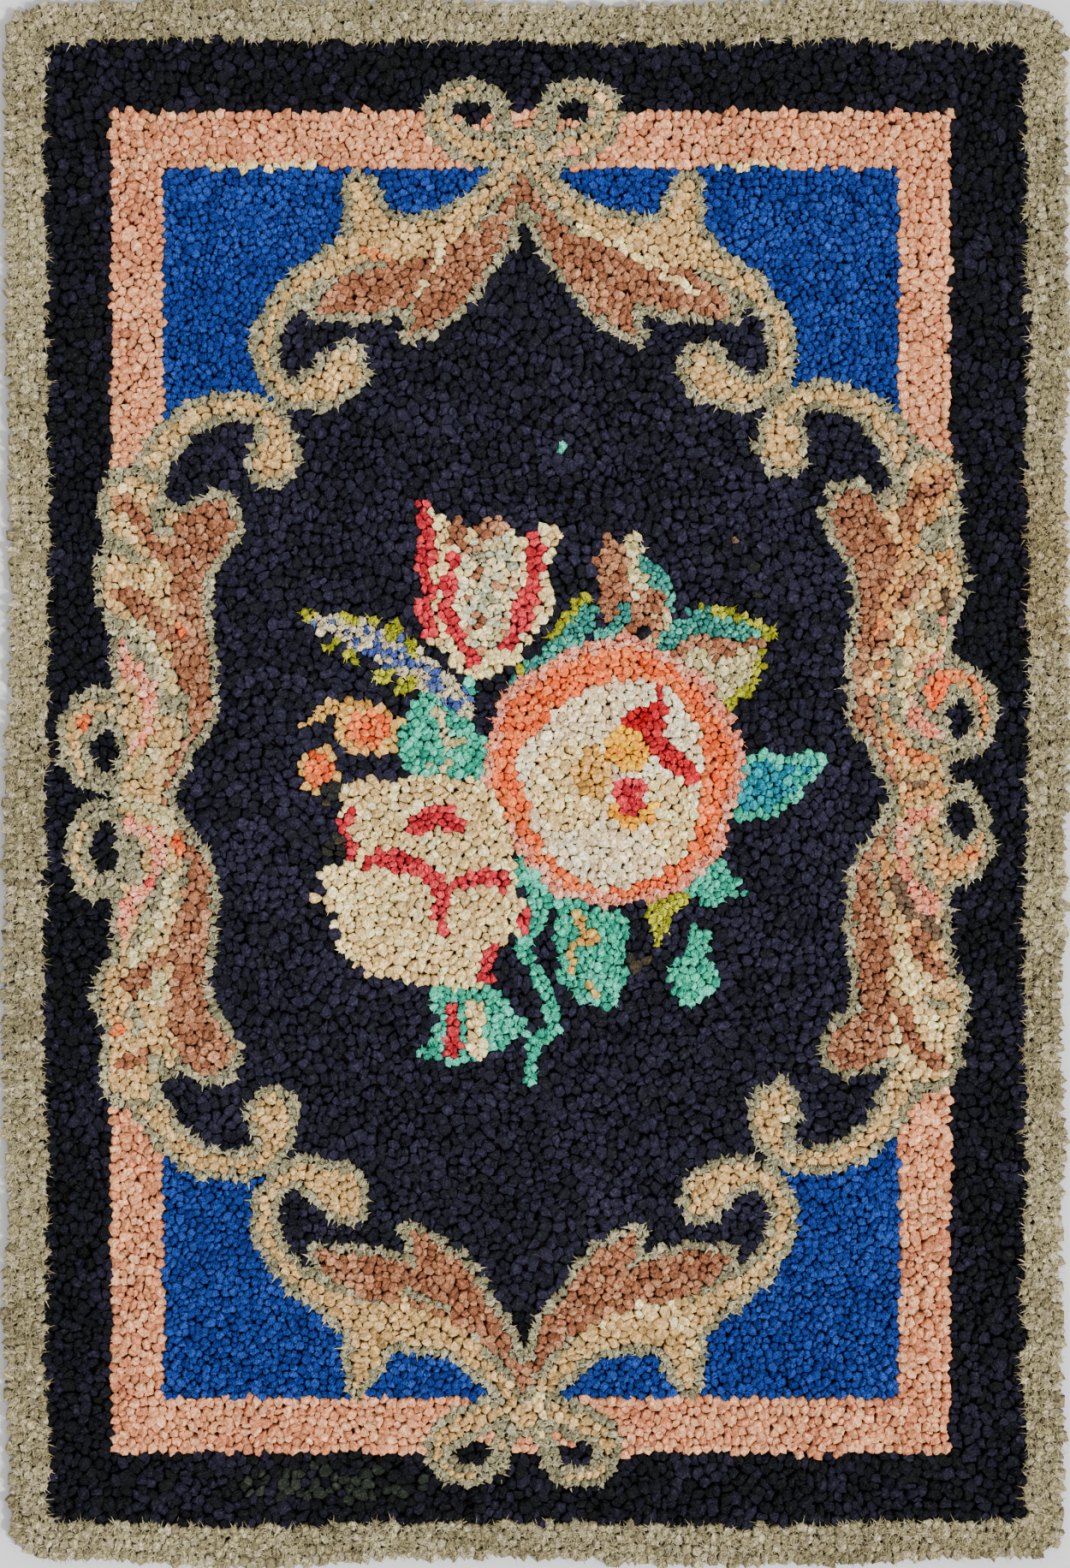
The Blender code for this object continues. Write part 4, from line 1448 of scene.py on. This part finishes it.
def add_attribute(data, name, kind, values):
    """One vector or colour for each point of a mesh."""
    layer = data.attributes.new(name, kind, "POINT")
    field = "color" if kind == "FLOAT_COLOR" else "vector"
    layer.data.foreach_set(field, np.ascontiguousarray(values, np.float32).ravel())


FOLD_ANGLE = math.radians(24)


def mesh_object(name, points, faces, tones, strip, material):
    """A smooth mesh of joined loops, made from arrays."""
    data = bpy.data.meshes.new(name)
    data.vertices.add(len(points))
    data.vertices.foreach_set("co", np.ascontiguousarray(points * MM, np.float32).ravel())
    data.loops.add(faces.size)
    data.loops.foreach_set("vertex_index", np.ascontiguousarray(faces, np.int32).ravel())
    data.polygons.add(len(faces))
    data.polygons.foreach_set("loop_start", np.arange(0, faces.size, 3, dtype=np.int32))
    data.update(calc_edges=True)
    data.shade_smooth()
    data.set_sharp_from_angle(angle=FOLD_ANGLE)
    add_attribute(data, "tone", "FLOAT_COLOR", np.column_stack((tones, np.ones(len(tones)))))
    add_attribute(data, "strip", "FLOAT_VECTOR", strip)
    data.materials.append(material)
    piece = bpy.data.objects.new(name, data)
    bpy.context.scene.collection.objects.link(piece)
    return piece


PIECE_LIMIT = 190000
SPIKE = np.array(((0, 1, 3), (1, 2, 3), (2, 0, 3), (0, 2, 1)))


def with_spikes(loop_arrays, spikes, spike_tones):
    """The arrays of some loops with their frayed threads added."""
    points, faces, tones, strip = loop_arrays
    spike_faces = SPIKE[None] + (np.arange(len(spikes)) * 4)[:, None, None] + len(points)
    spikes = spikes.reshape(-1, 3)
    return (
        np.vstack((points, spikes)), np.vstack((faces, spike_faces.reshape(-1, 3))),
        np.vstack((tones, spike_tones.reshape(-1, 3))), np.vstack((strip, spikes)),
    )


def make_pile():
    """Every loop and thread of the pile, as one piece or more for each kind of strip."""
    loops = place_loops()
    colours = loop_colours(loops)
    walls, ways = cell_walls(loops)
    spikes, spike_tones, owners = make_frays(loops, colours)
    slots = np.array([ZONES[name].slot for name in ZONE_NAMES])[loops.zones]
    total = 0
    for slot, finish in FINISHES.items():
        sides = LOOP_SIDES.get(slot, USUAL_SIDES)
        material = strip_material(slot, finish)
        chosen = np.flatnonzero(slots == slot)
        chosen = chosen[np.argsort(loops.points[chosen, 1])]
        faces_each = len(loop_faces(sides, len(LOOP_RINGS)))
        parts = 1 + len(chosen) * faces_each // PIECE_LIMIT
        for number, own in enumerate(np.array_split(chosen, parts)):
            mask = np.zeros(len(slots), bool)
            mask[own] = True
            shaped = shape_loops(loops.kept(mask), walls[mask], ways[mask], colours[mask], sides)
            threads = mask[owners]
            arrays = with_spikes(shaped, spikes[threads], spike_tones[threads])
            name = slot.replace("strips", "loops")
            if parts > 1:
                name = f"{name}_{number + 1}"
            piece = mesh_object(name, *arrays, material)
            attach(piece, "root")
            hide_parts("pile_border" if slot == "taupe_strips" else "pile_field")
            total += len(arrays[1])
            print(name, len(own), "loops", len(arrays[1]), "triangles")
    print("pile triangles", total)


def dress_foundation():
    """The hemmed cloth is the frame's own node, in hessian."""
    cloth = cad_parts["foundation"]
    material = hessian_material()
    for material_slot in cloth.material_slots:
        material_slot.material = material


# Camera, floor and light

CAMERA_HEIGHT = 2.2
VIEW_LENGTH = 1.0131
VIEW_CENTRE = (-0.0010, -0.0005)
PILE_LEVEL = 0.009
FLOOR_SIZE = 8.0
KEY_TURN = (math.radians(47), 0.0, math.radians(60))
KEY_STRENGTH = 4.9
KEY_SPREAD = math.radians(9)
FILL_COLOUR = (1.0, 0.98, 0.95, 1.0)
FILL_STRENGTH = 1.18


def make_camera():
    """Straight above the rug, with the photograph's portrait frame."""
    data = bpy.data.cameras.new("camera")
    data.sensor_fit = "VERTICAL"
    data.angle = 2.0 * math.atan(VIEW_LENGTH / 2.0 / (CAMERA_HEIGHT - PILE_LEVEL))
    camera = bpy.data.objects.new("camera", data)
    camera.location = (*VIEW_CENTRE, CAMERA_HEIGHT)
    bpy.context.scene.collection.objects.link(camera)
    bpy.context.scene.camera = camera


def make_floor():
    """A wide plain floor under the rug."""
    half = FLOOR_SIZE / 2.0
    data = bpy.data.meshes.new("plain_floor")
    corners = [(-half, -half, 0.0), (half, -half, 0.0), (half, half, 0.0), (-half, half, 0.0)]
    data.from_pydata(corners, [], [(0, 1, 2, 3)])
    data.materials.append(floor_material())
    floor = bpy.data.objects.new("plain_floor", data)
    bpy.context.scene.collection.objects.link(floor)


def make_lights():
    """A soft key light from the far left, and an even fill from all round."""
    data = bpy.data.lights.new("key", "SUN")
    data.energy = KEY_STRENGTH
    data.angle = KEY_SPREAD
    key = bpy.data.objects.new("key", data)
    key.rotation_euler = KEY_TURN
    bpy.context.scene.collection.objects.link(key)
    world = bpy.data.worlds.new("fill")
    world.use_nodes = True
    background = world.node_tree.nodes["Background"]
    background.inputs["Color"].default_value = FILL_COLOUR
    background.inputs["Strength"].default_value = FILL_STRENGTH
    bpy.context.scene.world = world


make_camera()
make_floor()
make_lights()
dress_foundation()
make_pile()
